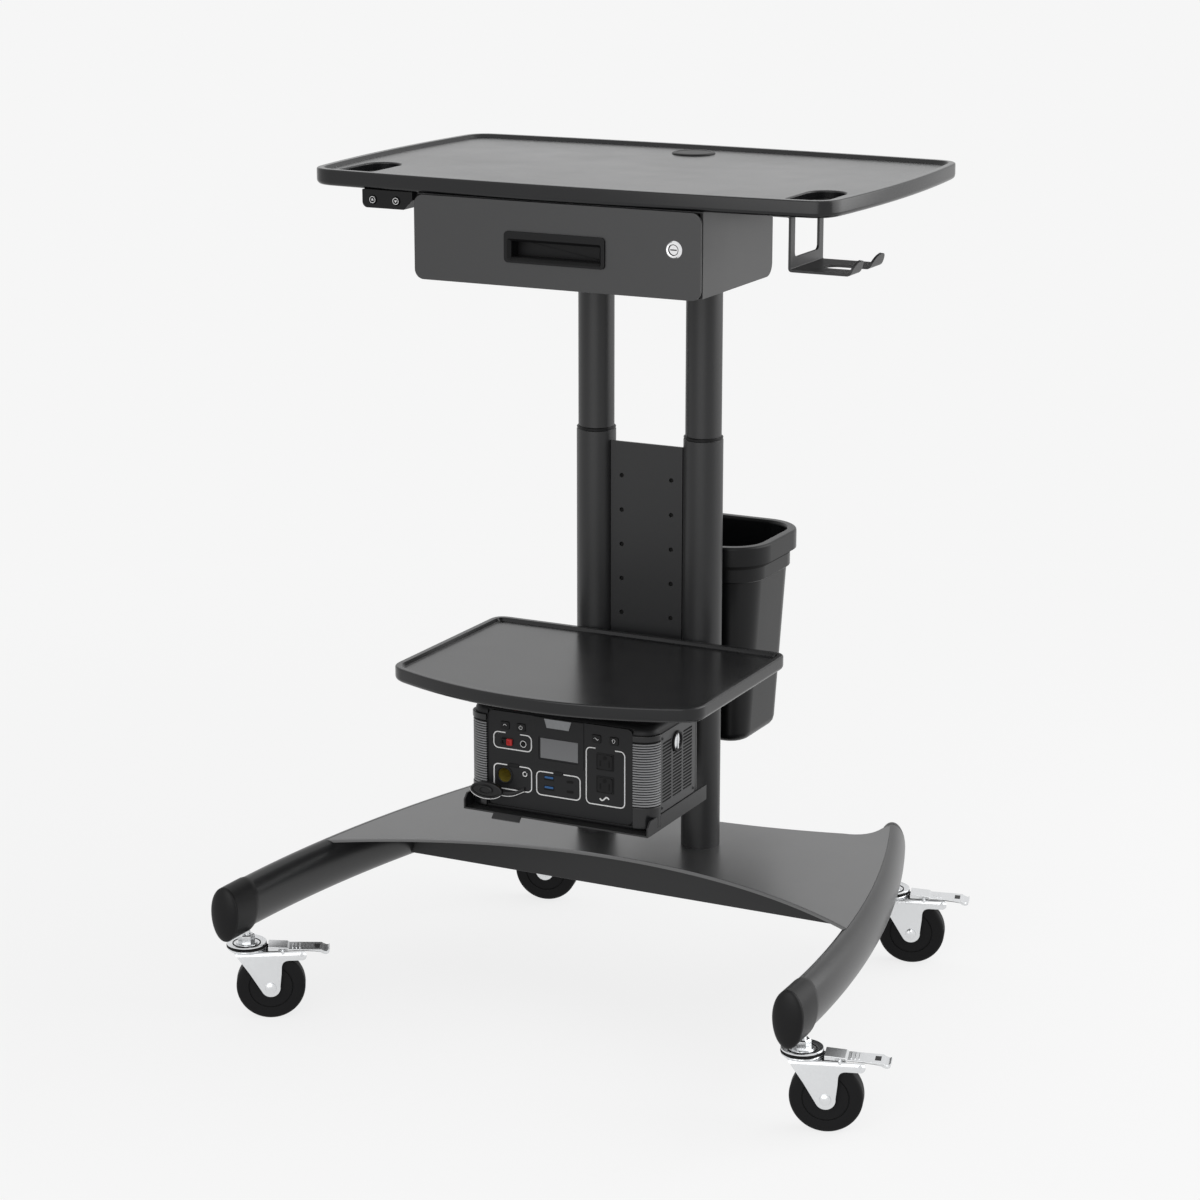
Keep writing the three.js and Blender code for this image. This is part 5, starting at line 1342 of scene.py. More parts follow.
def add_lock(low, high, lock):
    face, back, half = low.y, high.y - LOCK_CAM_THICK / 2, LOCK_CAM_HALF
    barrel = [(radius, face + rise) for radius, rise in LOCK_FACE]
    barrel += inset_from((high.z - low.z) / 2, face, LOCK_FLANGE)
    barrel += [(LOCK_RADIUS, face + LOCK_FLANGE_BACK), (LOCK_RADIUS, back), (0, back)]
    plug = carved(lathe(barrel, lock, "y"), key_slot(lock, face - KEY_SLOT_LEAD, face + KEY_SLOT_DEPTH))
    cam = block((low.x, high.y - LOCK_CAM_THICK, lock.z - half), (lock.x + half, high.y, lock.z + half))
    finish_piece("lock_plug", joined(plug, cam), "lock_chrome", "lock", ["drawer_lock"], sharp=28)
    # Near-black fills paint the shade inside the key slot and in the ring gap round the plug
    slot = key_slot(lock, *[face + depth for depth in KEY_SLOT_SHADE])
    outer, inner, start, end = LOCK_SHADE_RING
    shade_ring = pipe(outer, inner, face + start, face + end, lock, "y", 40)
    finish_piece("lock_slot_shade", joined(slot, shade_ring), "painted_shade_black", "lock")


# Tray and power station


def add_tray():
    low, high = inside("station_tray")
    sheet, half, front, back = TRAY_SHEET, high.x, low.y, TRAY_BACK_Y
    floor_z, rib_y = low.z + TRAY_RIB_DROP, high.y - TRAY_RIB_REACH
    lip_z, middle_z = floor_z + TRAY_LIP, floor_z + sheet / 2
    side = [(front, floor_z), (back, floor_z), (back, lip_z)]
    side += [(front + TRAY_BEVEL, lip_z), (front, lip_z - TRAY_BEVEL)]
    rib = [(high.y, low.z), (high.y, middle_z), (rib_y, middle_z), (rib_y, floor_z - sheet)]
    tongue = [(front + TRAY_BEVEL, middle_z), (front, middle_z)]
    tongue += [(front - TRAY_TAB_REACH, floor_z - TRAY_TAB_DROP)]
    parts = [
        block((-half, front, floor_z), (half, back, floor_z + sheet)),
        slab("x", ribbon(tongue, sheet), *TRAY_TAB),
        block((-TRAY_NECK, back, floor_z), (TRAY_NECK, high.y, floor_z + sheet)),
        block((-TRAY_NECK, high.y - sheet, floor_z), (TRAY_NECK, high.y, high.z)),
    ]
    for outline, reach in ((side, half), (rib, TRAY_NECK)):
        parts += [slab("x", outline, x, x + sheet) for x in (-reach, reach - sheet)]
    finish_piece("tray_sheet", united(*parts), "black_steel", "base", ["station_tray"], bevel=SOFT_EDGE)


def station_plan():
    face, wide, corner = STATION_FACE_HALF, STATION_HALF - STATION_FACE_HALF, STATION_BEVEL
    turns = [math.pi / 2 * k / 8 for k in range(9)]
    right = [(face + wide * math.sin(t), STATION_FRONT + corner * (1 - math.cos(t))) for t in turns]
    right += [(face + wide * math.cos(t), STATION_BACK - corner * (1 - math.sin(t))) for t in turns]
    return right + mirrored(right)


def add_station():
    low, high = inside("station_shell")
    face_low, face_high = inside("station_face")
    top = high.z - HANDLE_RISE
    turns = rounding(1.0, 6)
    ups = [(0, top - low.z - STATION_FOOT - STATION_SHOULDER)]
    ups += [(STATION_SHOULDER_INSET * inset, STATION_SHOULDER * rise) for inset, rise in turns]
    downs = [(STATION_FOOT * inset, STATION_FOOT * rise) for inset, rise in turns]
    body = stepped(flat("z", station_plan(), low.z + STATION_FOOT), ups, downs)
    y0, half = STATION_FRONT + HANDLE_SETBACK, HANDLE_HALF - HANDLE_POST
    y1 = y0 + HANDLE_DEPTH
    arch = rounded(-HANDLE_HALF, top - OVER, HANDLE_HALF, high.z, HANDLE_ROUND)
    gap = rounded(-half, top + HANDLE_GAP_LIFT, half, high.z - HANDLE_BAR, HANDLE_GAP_ROUND)
    grip = carved(slab("y", arch, y0, y1), slab("y", gap, y0 - OVER, y1 + OVER))
    x0, z0, x1, z1 = front_view(face_low, face_high, CLEAR)
    seat = block((x0, STATION_FRONT - OVER, z0), (x1, face_high.y, z1))
    bore = rod(SOCKET_RADIUS, STATION_FRONT - OVER, face_high.y + SOCKET_DEPTH, SOCKET_PLACE, "y", 40)
    shell = carved(united(body, grip), seat, bore)
    finish_piece("station_body", shell, "station_plastic", "base", ["station_shell"], bevel=SOFT_EDGE)
    add_station_corners(low.z + STATION_FOOT, top - STATION_SHOULDER)
    add_station_side()
    add_station_face(face_low, face_high)
    add_station_print()
    add_station_sockets(face_high.y)
    add_socket_cover()


def corner_band(sign, out, thick, z0, z1):
    """A band round a front corner of the station, its middle some way outside the skin."""
    wide, deep = STATION_HALF - STATION_FACE_HALF + out, STATION_BEVEL + out
    turns = [math.pi / 2 * k / 12 for k in range(13)]
    face, middle_y = STATION_FACE_HALF, STATION_FRONT + STATION_BEVEL
    line = [(face - RIB_LEAD, STATION_FRONT - out)]
    line += [(face + wide * math.sin(t), middle_y - deep * math.cos(t)) for t in turns]
    line.append((STATION_HALF + out, STATION_FRONT + RIB_END))
    return slab("z", ribbon([(sign * x, y) for x, y in line], thick), z0, z1)


def add_station_corners(low, high):
    """Ribbed grip panels round the two front corners, between two smooth bumpers."""
    rows = round((RIB_TOP - RIB_BOTTOM) / RIB_PITCH)
    starts = [RIB_BOTTOM + row * RIB_PITCH for row in range(rows)]
    top = RIB_BOTTOM + rows * RIB_PITCH
    spans = ((low, RIB_BOTTOM - BUMPER_GAP), (top + BUMPER_GAP, high))
    for side, sign in SIDES:
        ribs = [corner_band(sign, RIB_PROUD / 2, RIB_PROUD, z, z + RIB_PITCH * RIB_SHARE) for z in starts]
        finish_piece(f"corner_ribs_{side}", joined(*ribs), "rib_plastic", "base")
        # A near-black band under the ribs paints the shade in the grooves between them
        shade_band = corner_band(sign, RIB_SHADE_THICK / 2, RIB_SHADE_THICK, RIB_BOTTOM, top)
        finish_piece(f"rib_painted_shade_{side}", shade_band, "painted_shade_black", "base")
        bumpers = [soften(corner_band(sign, 0, 2 * BUMPER_PROUD, *span), BUMPER_ROUND, 50) for span in spans]
        finish_piece(f"corner_bumpers_{side}", joined(*bumpers), "bumper_plastic", "base", sharp=50)


def add_station_side():
    """The vented panel on the right side, its screws, and the round lamp on it."""
    x = STATION_HALF
    y0, z0, y1, z1 = GRILLE_PANEL
    starts = [GRILLE_START + column * (GRILLE_SLOT + GRILLE_GAP) for column in range(GRILLE_COLUMNS)]
    rows = [GRILLE_BOTTOM + row * GRILLE_PITCH for row in range(GRILLE_ROWS)]
    slots = []
    for y in starts:
        for z in rows:
            slot = rounded(y, z, y + GRILLE_SLOT, z + GRILLE_OPEN, GRILLE_OPEN * GRILLE_SLOT_ROUND, 2)
            slots.append(slab("x", slot, x + GRILLE_FLOOR, x + GRILLE_FLOOR + OVER))
    panel = slab("x", rounded(*GRILLE_PANEL, GRILLE_ROUND), x - GRILLE_SUNK, x + GRILLE_PROUD)
    finish_piece("grille_panel", carved(panel, joined(*slots)), "grille_plastic", "base", bevel=FINE_EDGE)
    # A near-black sheet at the floor of the slots paints the shade inside them
    near, far = GRILLE_SHADE_SPAN
    slot_shade = block((x + near, starts[0], rows[0]), (x + far, starts[-1] + GRILLE_SLOT, rows[-1] + GRILLE_OPEN))
    finish_piece("grille_slot_shade", slot_shade, "painted_shade_black", "base")
    in_y, in_z = SCREW_INSET
    head = [(0, x)] + [(radius, x + rise) for radius, rise in SCREW_HEAD]
    screws = [lathe(head, (0, y, z), "x", 16) for y in (y0 + in_y, y1 - in_y) for z in (z0 + in_z, z1 - in_z)]
    finish_piece("grille_screws", joined(*screws), "black_steel", "base")
    low, high = inside("side_lamp")
    y, z, radius, face = (low.y + high.y) / 2, (low.z + high.z) / 2, (high.z - low.z) / 2, high.x
    bezel = closed([(radius - LAMP_WALL, x), (radius, x)] + inset_from(radius, face, LAMP_RIM))
    finish_piece("lamp_bezel", lathe(bezel, (0, y, z), "x", 40), "black_plastic", "base", ["side_lamp"])
    inner = radius - LAMP_LENS_INSET
    lens = [(inner * share, face - drop) for share, drop in LAMP_LENS] + [(inner, x), (0, x)]
    bar = slab("x", rounded_about(y, z, LAMP_BAR_HALF, inner, LAMP_BAR_ROUND), x, face - LAMP_BAR_DROP)
    finish_piece("lamp_lens", joined(lathe(lens, (0, y, z), "x", 40), bar), "zinc", "base")


def add_station_face(low, high):
    start, end = low.y - OVER, high.y + OVER
    rise = [(0, high.y - low.y - FACE_SEAT - SOFT_EDGE)] + rounding(SOFT_EDGE, 2)
    outline = rounded(*front_view(low, high), FACE_ROUND, 8)
    panel = facing(outline, high.y - FACE_SEAT, rise, [(0, FACE_FOOT)])
    cuts = []
    for name in KEYS:
        k_low, k_high = inside(name)
        hole = rounded(*front_view(k_low, k_high, CLEAR), KEY_ROUND, 4)
        cuts.append(slab("y", hole, start, end))
        rise = [(0, k_high.y - k_low.y - KEY_SEAT - KEY_EDGE)] + rounding(KEY_EDGE, 3)
        outline = rounded(*front_view(k_low, k_high), KEY_ROUND, 4)
        cap = facing(outline, k_high.y - KEY_SEAT, rise, [(0, KEY_FOOT)])
        finish_piece(f"{name}_cap", cap, "black_plastic", name, [name])
    cuts.append(rod(SOCKET_RADIUS, start, end, SOCKET_PLACE, "y", 40))
    s_low, s_high = inside("station_screen")
    x0, z0, x1, z1 = front_view(s_low, s_high, SCREEN_CLEAR)
    cuts.append(block((x0, start, z0), (x1, end, z1)))
    finish_piece("face_panel", carved(panel, *cuts), "station_plastic", "base", ["station_face"], sharp=28)
    front = low.y - CENTRE_PROUD
    centre = slab("y", rounded(*CENTRE_PANEL, CENTRE_ROUND), front, low.y + CENTRE_SUNK)
    border = rounded(*front_view(s_low, s_high, SCREEN_BORDER), SCREEN_BORDER_ROUND)
    centre = carved(centre, slab("y", border, start, low.y + OVER))
    finish_piece("centre_frame", centre, "station_plastic", "base", bevel=FINE_EDGE)
    glass = block((s_low.x, s_low.y - SCREEN_PROUD, s_low.z), s_high)
    finish_piece("screen_pane", glass, "screen_glass", "base", ["station_screen"], bevel=HAIR_EDGE)
    x0, z0, x1, z1 = BLANK_PLACE
    trapezoid = [(x0 + BLANK_LEAN, z0), (x1 - BLANK_LEAN, z0), (x1, z1), (x0, z1)]
    finish_piece("blank_plate", facing(trapezoid, front, *BLANK_STEPS), "blank_metal", "base")


def outline_with_gap(x0, z0, x1, z1, gap0, gap1):
    """A rounded frame line that starts and ends at a gap in its upper side."""
    radius = PRINT_CORNER
    left, right, low, high = x0 + radius, x1 - radius, z0 + radius, z1 - radius
    path = [(gap1, z1)]
    for x, z, turn in ((right, high, 90), (right, low, 0), (left, low, 270), (left, high, 180)):
        path += arc(x, z, radius, turn, turn - 90, 6)
    return path + [(gap0, z1)]


def wave(x, z, reach, rise, steps):
    """One full wave about a point, with so many steps to each side of it."""
    shares = [k / steps for k in range(2 * steps + 1)]
    return [(x + reach * (share - 1), z + rise * math.sin(math.pi * share)) for share in shares]


def mark_line(path, width, y):
    return slab("y", ribbon(path, width), y, y - MARK_PROUD)


def key_paths(name, x, z):
    """The lines of a key's mark."""
    if name == "start_key":
        return [arc(x, z - KEY_ARC_DROP, KEY_ARC_RADIUS, 20, 160, 8)]
    if name == "power_key":
        return [arc(x, z, KEY_RING_RADIUS, 120, 420, 12), [(x, z + rise) for rise in KEY_STROKE]]
    if name == "output_key":
        return [wave(x, z, *KEY_WAVE, 6)]
    half, drop = BULB_FOOT
    return [arc(x, z + BULB_RISE, BULB_RADIUS, -60, 240, 12), [(x - half, z - drop), (x + half, z - drop)]]


def add_station_print():
    """The white frame lines, and plain marks on the keys."""
    y = STATION_FRONT
    marks = [mark_line(outline_with_gap(*box), PRINT_WIDTH, y) for box in PRINT_FRAMES]
    marks.append(mark_line(wave(*WAVE_PLACE, *WAVE_SIZE, 8), PRINT_WIDTH * WAVE_WEIGHT, y))
    marks.append(mark_line(arc(*DIAL_MARK, 60, 390, 16), PRINT_WIDTH * DIAL_WEIGHT, y))
    finish_piece("face_print", joined(*marks), "print_and_highlight_white", "base")
    for name in KEYS:
        low, high = inside(name)
        paths = key_paths(name, (low.x + high.x) / 2, (low.z + high.z) / 2)
        lines = [mark_line(path, KEY_LINE, low.y) for path in paths]
        finish_piece(f"{name}_mark", joined(*lines), "print_and_highlight_white", name)


def add_station_sockets(face_back):
    y, shade = STATION_FRONT, STATION_FRONT - PORT_SHADE
    # Car socket: a dark flange and a metal lining down the bore
    flange = closed(inset_from(SOCKET_RADIUS, y, SOCKET_FLANGE))
    finish_piece("car_socket_flange", lathe(flange, SOCKET_PLACE, "y"), "black_plastic", "base")
    outer, back, mouth = SOCKET_RADIUS - CLEAR, face_back + SOCKET_DEPTH - LINING_BACK, y + LINING_LEAD
    inner, floor = outer - LINING_WALL, back - LINING_WALL
    lining = closed([(outer, mouth), (outer, back), (0, back), (0, floor), (inner, floor), (inner, mouth)])
    finish_piece("car_socket_lining", lathe(lining, SOCKET_PLACE, "y", 40), "socket_brass", "base")
    bore = JACK_RADIUS - JACK_RIM
    rim = pipe(JACK_RADIUS, bore, y - JACK_PROUD, y, JACK_PLACE, "y", 28)
    # Near-black discs and blocks on the face paint the shade inside the jack, ports and outlet holes
    hollow = [rod(bore, shade, y, JACK_PLACE, "y", 28)]
    black = [rod(JACK_PIN, y - PORT_PROUD, y, JACK_PLACE, "y", 12)]
    blue = []
    for x, z in BLUE_PORTS:
        half, tall = BLUE_PORT_HALF
        hollow.append(block((x - half, shade, z - tall), (x + half, y, z + tall)))
        half, low, high = BLUE_TONGUE
        blue.append(block((x - half, y - PORT_PROUD, z + low), (x + half, y, z + high)))
    for x, z in SMALL_PORTS:
        hollow.append(slab("y", rounded_about(x, z, *SMALL_PORT), y, shade))
        black.append(slab("y", rounded_about(x, z, *SMALL_PORT_LIP), y, y - MARK_PROUD))
    for z in OUTLET_HEIGHTS:
        shade, middle = y - OUTLET_SHADE, z - BLADE_DROP
        black.append(facing(rounded_about(OUTLET_X, z, *OUTLET_FRAME), y, OUTLET_STEPS))
        black.append(slab("y", rounded_about(OUTLET_X, z, *OUTLET_BLOCK), y, y - OUTLET_PROUD))
        for side, tall in BLADES:
            x = OUTLET_X + side
            hollow.append(block((x - BLADE_HALF, shade, middle - tall), (x + BLADE_HALF, y, middle + tall)))
        hollow.append(rod(GROUND_RADIUS, shade, y, (OUTLET_X, 0, z + GROUND_RISE), "y", 20))
    black += [facing(rounded(*tab, COVER_TAB_ROUND), y, COVER_TAB_STEPS) for tab in COVER_TABS]
    x, z = PLUG_PLACE
    black.append(plug_half(x - PLUG_PITCH, z, y))
    finish_piece("port_bodies", joined(*black), "black_plastic", "base", sharp=28)
    finish_piece("port_painted_shade", joined(*hollow), "painted_shade_black", "base", sharp=28)
    finish_piece("jack_rims", rim, "print_and_highlight_white", "base")
    finish_piece("blue_tongues", joined(*blue), "port_blue", "base")
    finish_piece("red_plug", plug_half(x, z, y), "plug_red", "base", sharp=28)


def plug_half(x, z, y):
    wide, tall = PLUG_SIZE
    body = facing(rounded(x, z - tall, x + wide, z + tall, PLUG_ROUND), y, PLUG_STEPS)
    start, end, half = PLUG_WELL
    return carved(body, block((x + start, y - OVER, z - half), (x + end, y - PLUG_WELL_FLOOR, z + half)))


def add_socket_cover():
    """The rubber cover of the car socket, hanging open on its strap."""
    low = inside("socket_cover")[0]
    x, y, z = low.x + COVER_HALF, low.y + COVER_THICK / 2, low.z + COVER_HALF_HEIGHT
    turns = [2 * math.pi * k / 48 for k in range(48)]
    ellipse = [(x + COVER_HALF * math.cos(t), z + COVER_HALF_HEIGHT * math.sin(t)) for t in turns]
    side = [(0, COVER_SIDE)] + rounding(COVER_ROUND, 3)
    pad = facing(ellipse, y, side + COVER_DISH, side)
    wide, tall = COVER_PLUG_SHARE
    small = [(x - COVER_PLUG_SHIFT + (a - x) * wide, z + (b - z) * tall) for a, b in ellipse]
    plug = facing(small, y, COVER_PLUG_STEPS)
    steps = 10
    anchor_x, anchor_z = STRAP_ANCHOR
    knee = (x + COVER_HALF + STRAP_KNEE[0], z + STRAP_KNEE[1])
    end = (anchor_x + STRAP_END[0], anchor_z + STRAP_END[1])
    route = bend((x + COVER_HALF * STRAP_START, z), knee, end, steps) + [(anchor_x + STRAP_TAIL, anchor_z)]
    back = STATION_FRONT - STRAP_OFF_FACE - y
    points = [(a, y + back * min(1, k / steps), b) for k, (a, b) in enumerate(route)]
    cap = joined(pad, plug, strand(points, *STRAP_SIZE, 12))
    finish_piece("cover_cap", cap, "cover_rubber", "base", ["socket_cover"], sharp=40)
    # A pale line along the cover's lower rim and the strap is a painted highlight
    rim = [(a, y - COVER_THICK / 2, b) for a, b in ellipse[24:46]]
    rim += [(a, depth + COVER_HIGHLIGHT_SHIFT[0], b + COVER_HIGHLIGHT_SHIFT[1]) for a, depth, b in points[2:]]
    finish_piece("cover_painted_highlight", strand(rim, COVER_HIGHLIGHT_RADIUS, COVER_HIGHLIGHT_RADIUS, 8), "print_and_highlight_white", "base", sharp=60)


# Waste bin


def bin_plan(low, high, inset):
    return rounded(low.x + inset, low.y + inset, high.x - inset, high.y - inset, BIN_CORNER - inset, 12)


def add_bin():
    low, high = inside("waste_bin")
    wall, roll, soft = BIN_WALL, BIN_RIM_ROUND, BIN_SOFT
    skirt_bottom, band = high.z - BIN_SKIRT, BIN_BAND_HEIGHT - BIN_SKIRT
    deep, taper = high.z - low.z - wall - BIN_FLOOR_RISE, BIN_FOOT_INSET - BIN_BODY_INSET
    ups = [(0, BIN_SKIRT - roll)] + rounding(roll) + [(BIN_BODY_INSET + wall - 2 * roll, 0)]
    ups += [(roll * inset, -roll * drop) for inset, drop in BIN_RIM]
    ups += [(BIN_MOUTH, 2 * roll - BIN_BAND_HEIGHT), (taper, BIN_BAND_HEIGHT - deep)] + BIN_FLOOR
    downs = [(wall, 0), (0, -BIN_SKIRT_DEPTH), (BIN_BAND_INSET - wall, 0)]
    downs += [(0, BIN_SKIRT_DEPTH + band - soft), (soft, soft)]
    downs += [(BIN_BODY_INSET - BIN_BAND_INSET - soft, 0), (soft, soft)]
    downs += [(taper - soft, skirt_bottom - band - low.z - BIN_FOOT_ROUND - soft)] + BIN_FOOT
    tub = stepped(flat("z", bin_plan(low, high, 0), skirt_bottom), ups, downs)
    finish_piece("bin_tub", tub, "bin_plastic", "base", ["waste_bin"], sharp=35)
    # A near-black ring just under the rim's skirt paints the shadow the skirt casts on the band
    start, end = skirt_bottom - BIN_SHADOW_HALF, skirt_bottom + BIN_SHADOW_HALF
    insets = (BIN_BAND_INSET - BIN_SHADOW_PROUD, BIN_BAND_INSET + wall / 2)
    line = carved(*[slab("z", bin_plan(low, high, inset), start, end) for inset in insets])
    finish_piece("bin_painted_shadow", line, "painted_shade_black", "base", sharp=35)


# Casters, drawn with the swivel axis as z and the wheel trailing along x


def caster_frame(place):
    stem_low, stem_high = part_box(f"caster_stem_{place}")
    wheel_low, wheel_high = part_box(f"caster_wheel_{place}")
    axis = (Vector(stem_low) + Vector(stem_high)) / 2
    wheel = (Vector(wheel_low) + Vector(wheel_high)) / 2
    turn = math.atan2(wheel.y - axis.y, wheel.x - axis.x)
    return Matrix.Translation((axis.x, axis.y, 0)) @ Matrix.Rotation(turn, 4, "Z")


def stem_shape():
    """The zinc dish, the washer and nut in it, and the stud."""
    well, chamfer = DISH_WELL, STUD_CHAMFER
    dish = [(DISH_BORE, DISH_BOTTOM)] + inset_from(DISH_RADIUS, DISH_BOTTOM, DISH_UNDER)
    dish += inset_from(DISH_RADIUS, DISH_TOP, DISH_LIP)
    dish += [(DISH_RADIUS - DISH_FLOOR, well), (DISH_BORE, well - DISH_SAG)]
    nut_steps = [(0, NUT_HEIGHT - NUT_CHAMFER[1]), NUT_CHAMFER]
    nut = stepped(flat("z", arc(0, 0, NUT_RADIUS, 0, 300, 5), well), nut_steps)
    washer = pipe(NUT_RADIUS + WASHER_REACH, STUD_RADIUS, well - DISH_SAG, well + WASHER_RISE)
    stud = [(0, well), (STUD_RADIUS, well), (STUD_RADIUS, STUD_TOP - chamfer)]
    stud += [(STUD_RADIUS - chamfer, STUD_TOP), (0, STUD_TOP)]
    return joined(lathe(closed(dish), steps=64), nut, washer, lathe(stud, steps=24))


def seal_and_shade_shape():
    """The black ring under the dish, and a black ring round the nut that paints the shade of a groove."""
    low, high = DISH_BOTTOM - SEAL_DROP, DISH_BOTTOM + SEAL_RISE
    ring = [(SEAL_BORE, low)] + inset_from(DISH_RADIUS, low, SEAL_FOOT)
    ring += inset_from(DISH_RADIUS, high, SEAL_HEAD) + [(SEAL_BORE, high)]
    shade_ring = pipe(NUT_SHADE_RADIUS, NUT_SHADE_RADIUS - NUT_SHADE_WIDTH, DISH_WELL - DISH_SAG, DISH_WELL + NUT_SHADE_RISE)
    return joined(lathe(closed(ring), steps=64), shade_ring)


def fork_shape():
    """The pressed fork with its domed head, axle bolt and rivets."""
    top, turn = BRIDGE_Z + FORK_SHEET, FORK_BEND
    half, outside = FORK_INSIDE + FORK_SHEET / 2, FORK_INSIDE + FORK_SHEET
    middle_z = BRIDGE_Z + FORK_SHEET / 2
    left = [(-half, FORK_LOW)]
    left += bend((-half, middle_z - turn), (-half, middle_z), (turn - half, middle_z), 5)
    channel = slab("x", ribbon(left + mirrored(left), FORK_SHEET), *FORK_SPAN)
    outline = inset_from(0, top, FORK_BROW) + [FORK_WAIST]
    outline += arc(CASTER_TRAIL, WHEEL_RADIUS, FORK_EYE, 211, 368, 16) + [FORK_BACK]
    outline += bend(*FORK_CROTCH, 6) + arc(*FORK_ARM, -80, 60, 8) + [(FORK_ARM_END, outline[0][1])]
    pressed = combined("INTERSECT", channel, [slab("y", outline, -FORK_WIDE, FORK_WIDE)])
    gap_low, gap_end, gap_high = FORK_GAP
    gap = block((LEVER_START - FORK_SHEET, -FORK_INSIDE, gap_low), (gap_end, FORK_INSIDE, gap_high))
    foot, roof = BRIDGE_Z + BRIDGE_LIFT, DISH_BOTTOM - HEAD_GAP
    head = [(HEAD_BORE, foot), (HEAD_WAIST, foot)] + inset_from(HEAD_RADIUS, top, HEAD_SIDE)
    head += [(HEAD_RADIUS - HEAD_CHAMFER, roof), (HEAD_EYE, roof)]
    parts = [carved(pressed, gap), lathe(closed(head), steps=64)]
    for sign in (-1, 1):
        bolt = [(radius, sign * (outside + rise)) for radius, rise in BOLT_HEAD]
        rivet = [(radius, sign * (outside + rise)) for radius, rise in RIVET_HEAD]
        parts.append(lathe(bolt, AXLE_PLACE, "y", 32))
        for x, z, end in ((LEVER_PIVOT_X, LEVER_PIVOT_Z, 0), (*ARM_RIVET, sign * FORK_INSIDE)):
            parts.append(lathe(rivet + [(rivet[-1][0], end), (0, end)], (x, 0, z), "y", 16))
    parts.append(rod(AXLE_RADIUS, -outside, outside, AXLE_PLACE, "y", 20))
    return joined(*parts)


def wheel_shape():
    side = WHEEL_HUB + inset_from(WHEEL_RADIUS * WHEEL_GROOVE_SHARE, WHEEL_HALF, WHEEL_GROOVE)
    side += inset_from(WHEEL_RADIUS, WHEEL_HALF, WHEEL_SHOULDER)
    side += inset_from(WHEEL_RADIUS, WHEEL_TREAD_HALF, WHEEL_TREAD)
    return lathe(closed([(r, -h) for r, h in side] + side[::-1]), AXLE_PLACE, "y", 72)


def lever_level(x):
    start, end = BRIDGE_Z + LEVER_START_RISE, BRIDGE_Z + LEVER_END_RISE
    return start + (end - start) * (x - LEVER_START) / (LEVER_END - LEVER_START)


def cheeks(outline, thick):
    """One flat shape at each side of the lever."""
    return [slab("y", outline, y, y + thick) for y in (-LEVER_HALF, LEVER_HALF - thick)]


def lever_shapes():
    """The pressed brake lever, and the dark mark on it."""
    low, tip_z = lever_level(LEVER_STEP_X) - LEVER_STEP_DROP, lever_level(LEVER_END)
    before, tip_x = LEVER_STEP_X - LEVER_STEP_RUN, LEVER_END - 2 * LEVER_CURL
    deep, shallow = [tip_z - LEVER_CURL * share for share in LEVER_CURL_DROPS]
    far = LEVER_END + LEVER_CURL
    curl = bend((tip_x, tip_z), (LEVER_END - LEVER_CURL_LEAD, deep), (far, shallow), 6)
    line = [(x, lever_level(x)) for x in (LEVER_START, before)] + [(LEVER_STEP_X, low)] + curl
    plate = slab("y", ribbon(line, LEVER_SHEET), -LEVER_HALF, LEVER_HALF)
    wall = line + [(x - LEVER_WALL_TIP / 3, z - LEVER_WALL_TIP) for x, z in curl[::-1]]
    wall += [(LEVER_WALL_END, LEVER_WALL_LOW), (LEVER_START, LEVER_WALL_LOW)]
    near, beyond = LEVER_HALF - LEVER_CORNER, LEVER_HALF + LEVER_CORNER
    past, side, behind = LEVER_CORNER_CUT
    edge = [(far + OVER, near), (far + past, near), (LEVER_END - side, LEVER_HALF)]
    edge += [(LEVER_END - behind, beyond), (far + OVER, beyond)]
    cuts = [slab("z", [(x, sign * y) for x, y in edge], *LEVER_CUT_SPAN) for sign in (-1, 1)]
    parts = [carved(plate, *cuts), *cheeks(wall, LEVER_WALL)]
    half, tall = LEVER_RIB_SIZE
    for x in LEVER_RIBS:
        z = (low * (LEVER_END - x) + tip_z * (x - LEVER_STEP_X)) / (LEVER_END - LEVER_STEP_X)
        rib = rounded(x - half, z, x + half, z + tall, LEVER_RIB_ROUND)
        parts.append(slab("y", rib, -LEVER_RIB_HALF, LEVER_RIB_HALF))
    x0, x1 = LEVER_PIVOT_X - LEVER_EAR_REACH, LEVER_PIVOT_X + LEVER_EAR_REACH
    ear = rounded(x0, LEVER_PIVOT_Z - LEVER_EAR_DROP, x1, lever_level(LEVER_PIVOT_X), LEVER_EAR_ROUND)
    parts += cheeks(ear, LEVER_EAR_THICK)
    slope = (tip_z - low) / (tip_x - LEVER_STEP_X)
    mark = [(x, tip_z + LEVER_SHEET / 2 - slope * (tip_x - x)) for x in LEVER_MARK]
    mark += [(x, z + LEVER_MARK_PROUD) for x, z in mark[::-1]]
    return joined(*parts), slab("y", mark, -LEVER_MARK_HALF, LEVER_MARK_HALF)


def add_casters():
    for place in ("front_left", "front_right", "back_left", "back_right"):
        lever, mark = lever_shapes()
        brake = f"brake_{place}"
        pieces = [
            ("caster_dish", stem_shape(), "zinc", "base", "caster_stem", {"sharp": 28}),
            ("caster_seal_and_shade", seal_and_shade_shape(), "wheel_rubber", "base", None, {}),
            ("caster_legs", fork_shape(), "zinc", f"caster_{place}", "caster_fork", {"bevel": FORK_EDGE}),
            ("caster_tyre", wheel_shape(), "wheel_rubber", f"wheel_{place}", "caster_wheel", {}),
            ("brake_plate", lever, "zinc", brake, "brake_lever", {"bevel": SHEET_EDGE}),
            ("brake_mark", mark, "black_plastic", brake, None, {}),
        ]
        for name, shape, finish, body, node, edges in pieces:
            nodes = [f"{node}_{place}"] if node else ()
            finish_piece(f"{name}_{place}", shape, finish, body, nodes, caster_frame(place), **edges)


# Studio


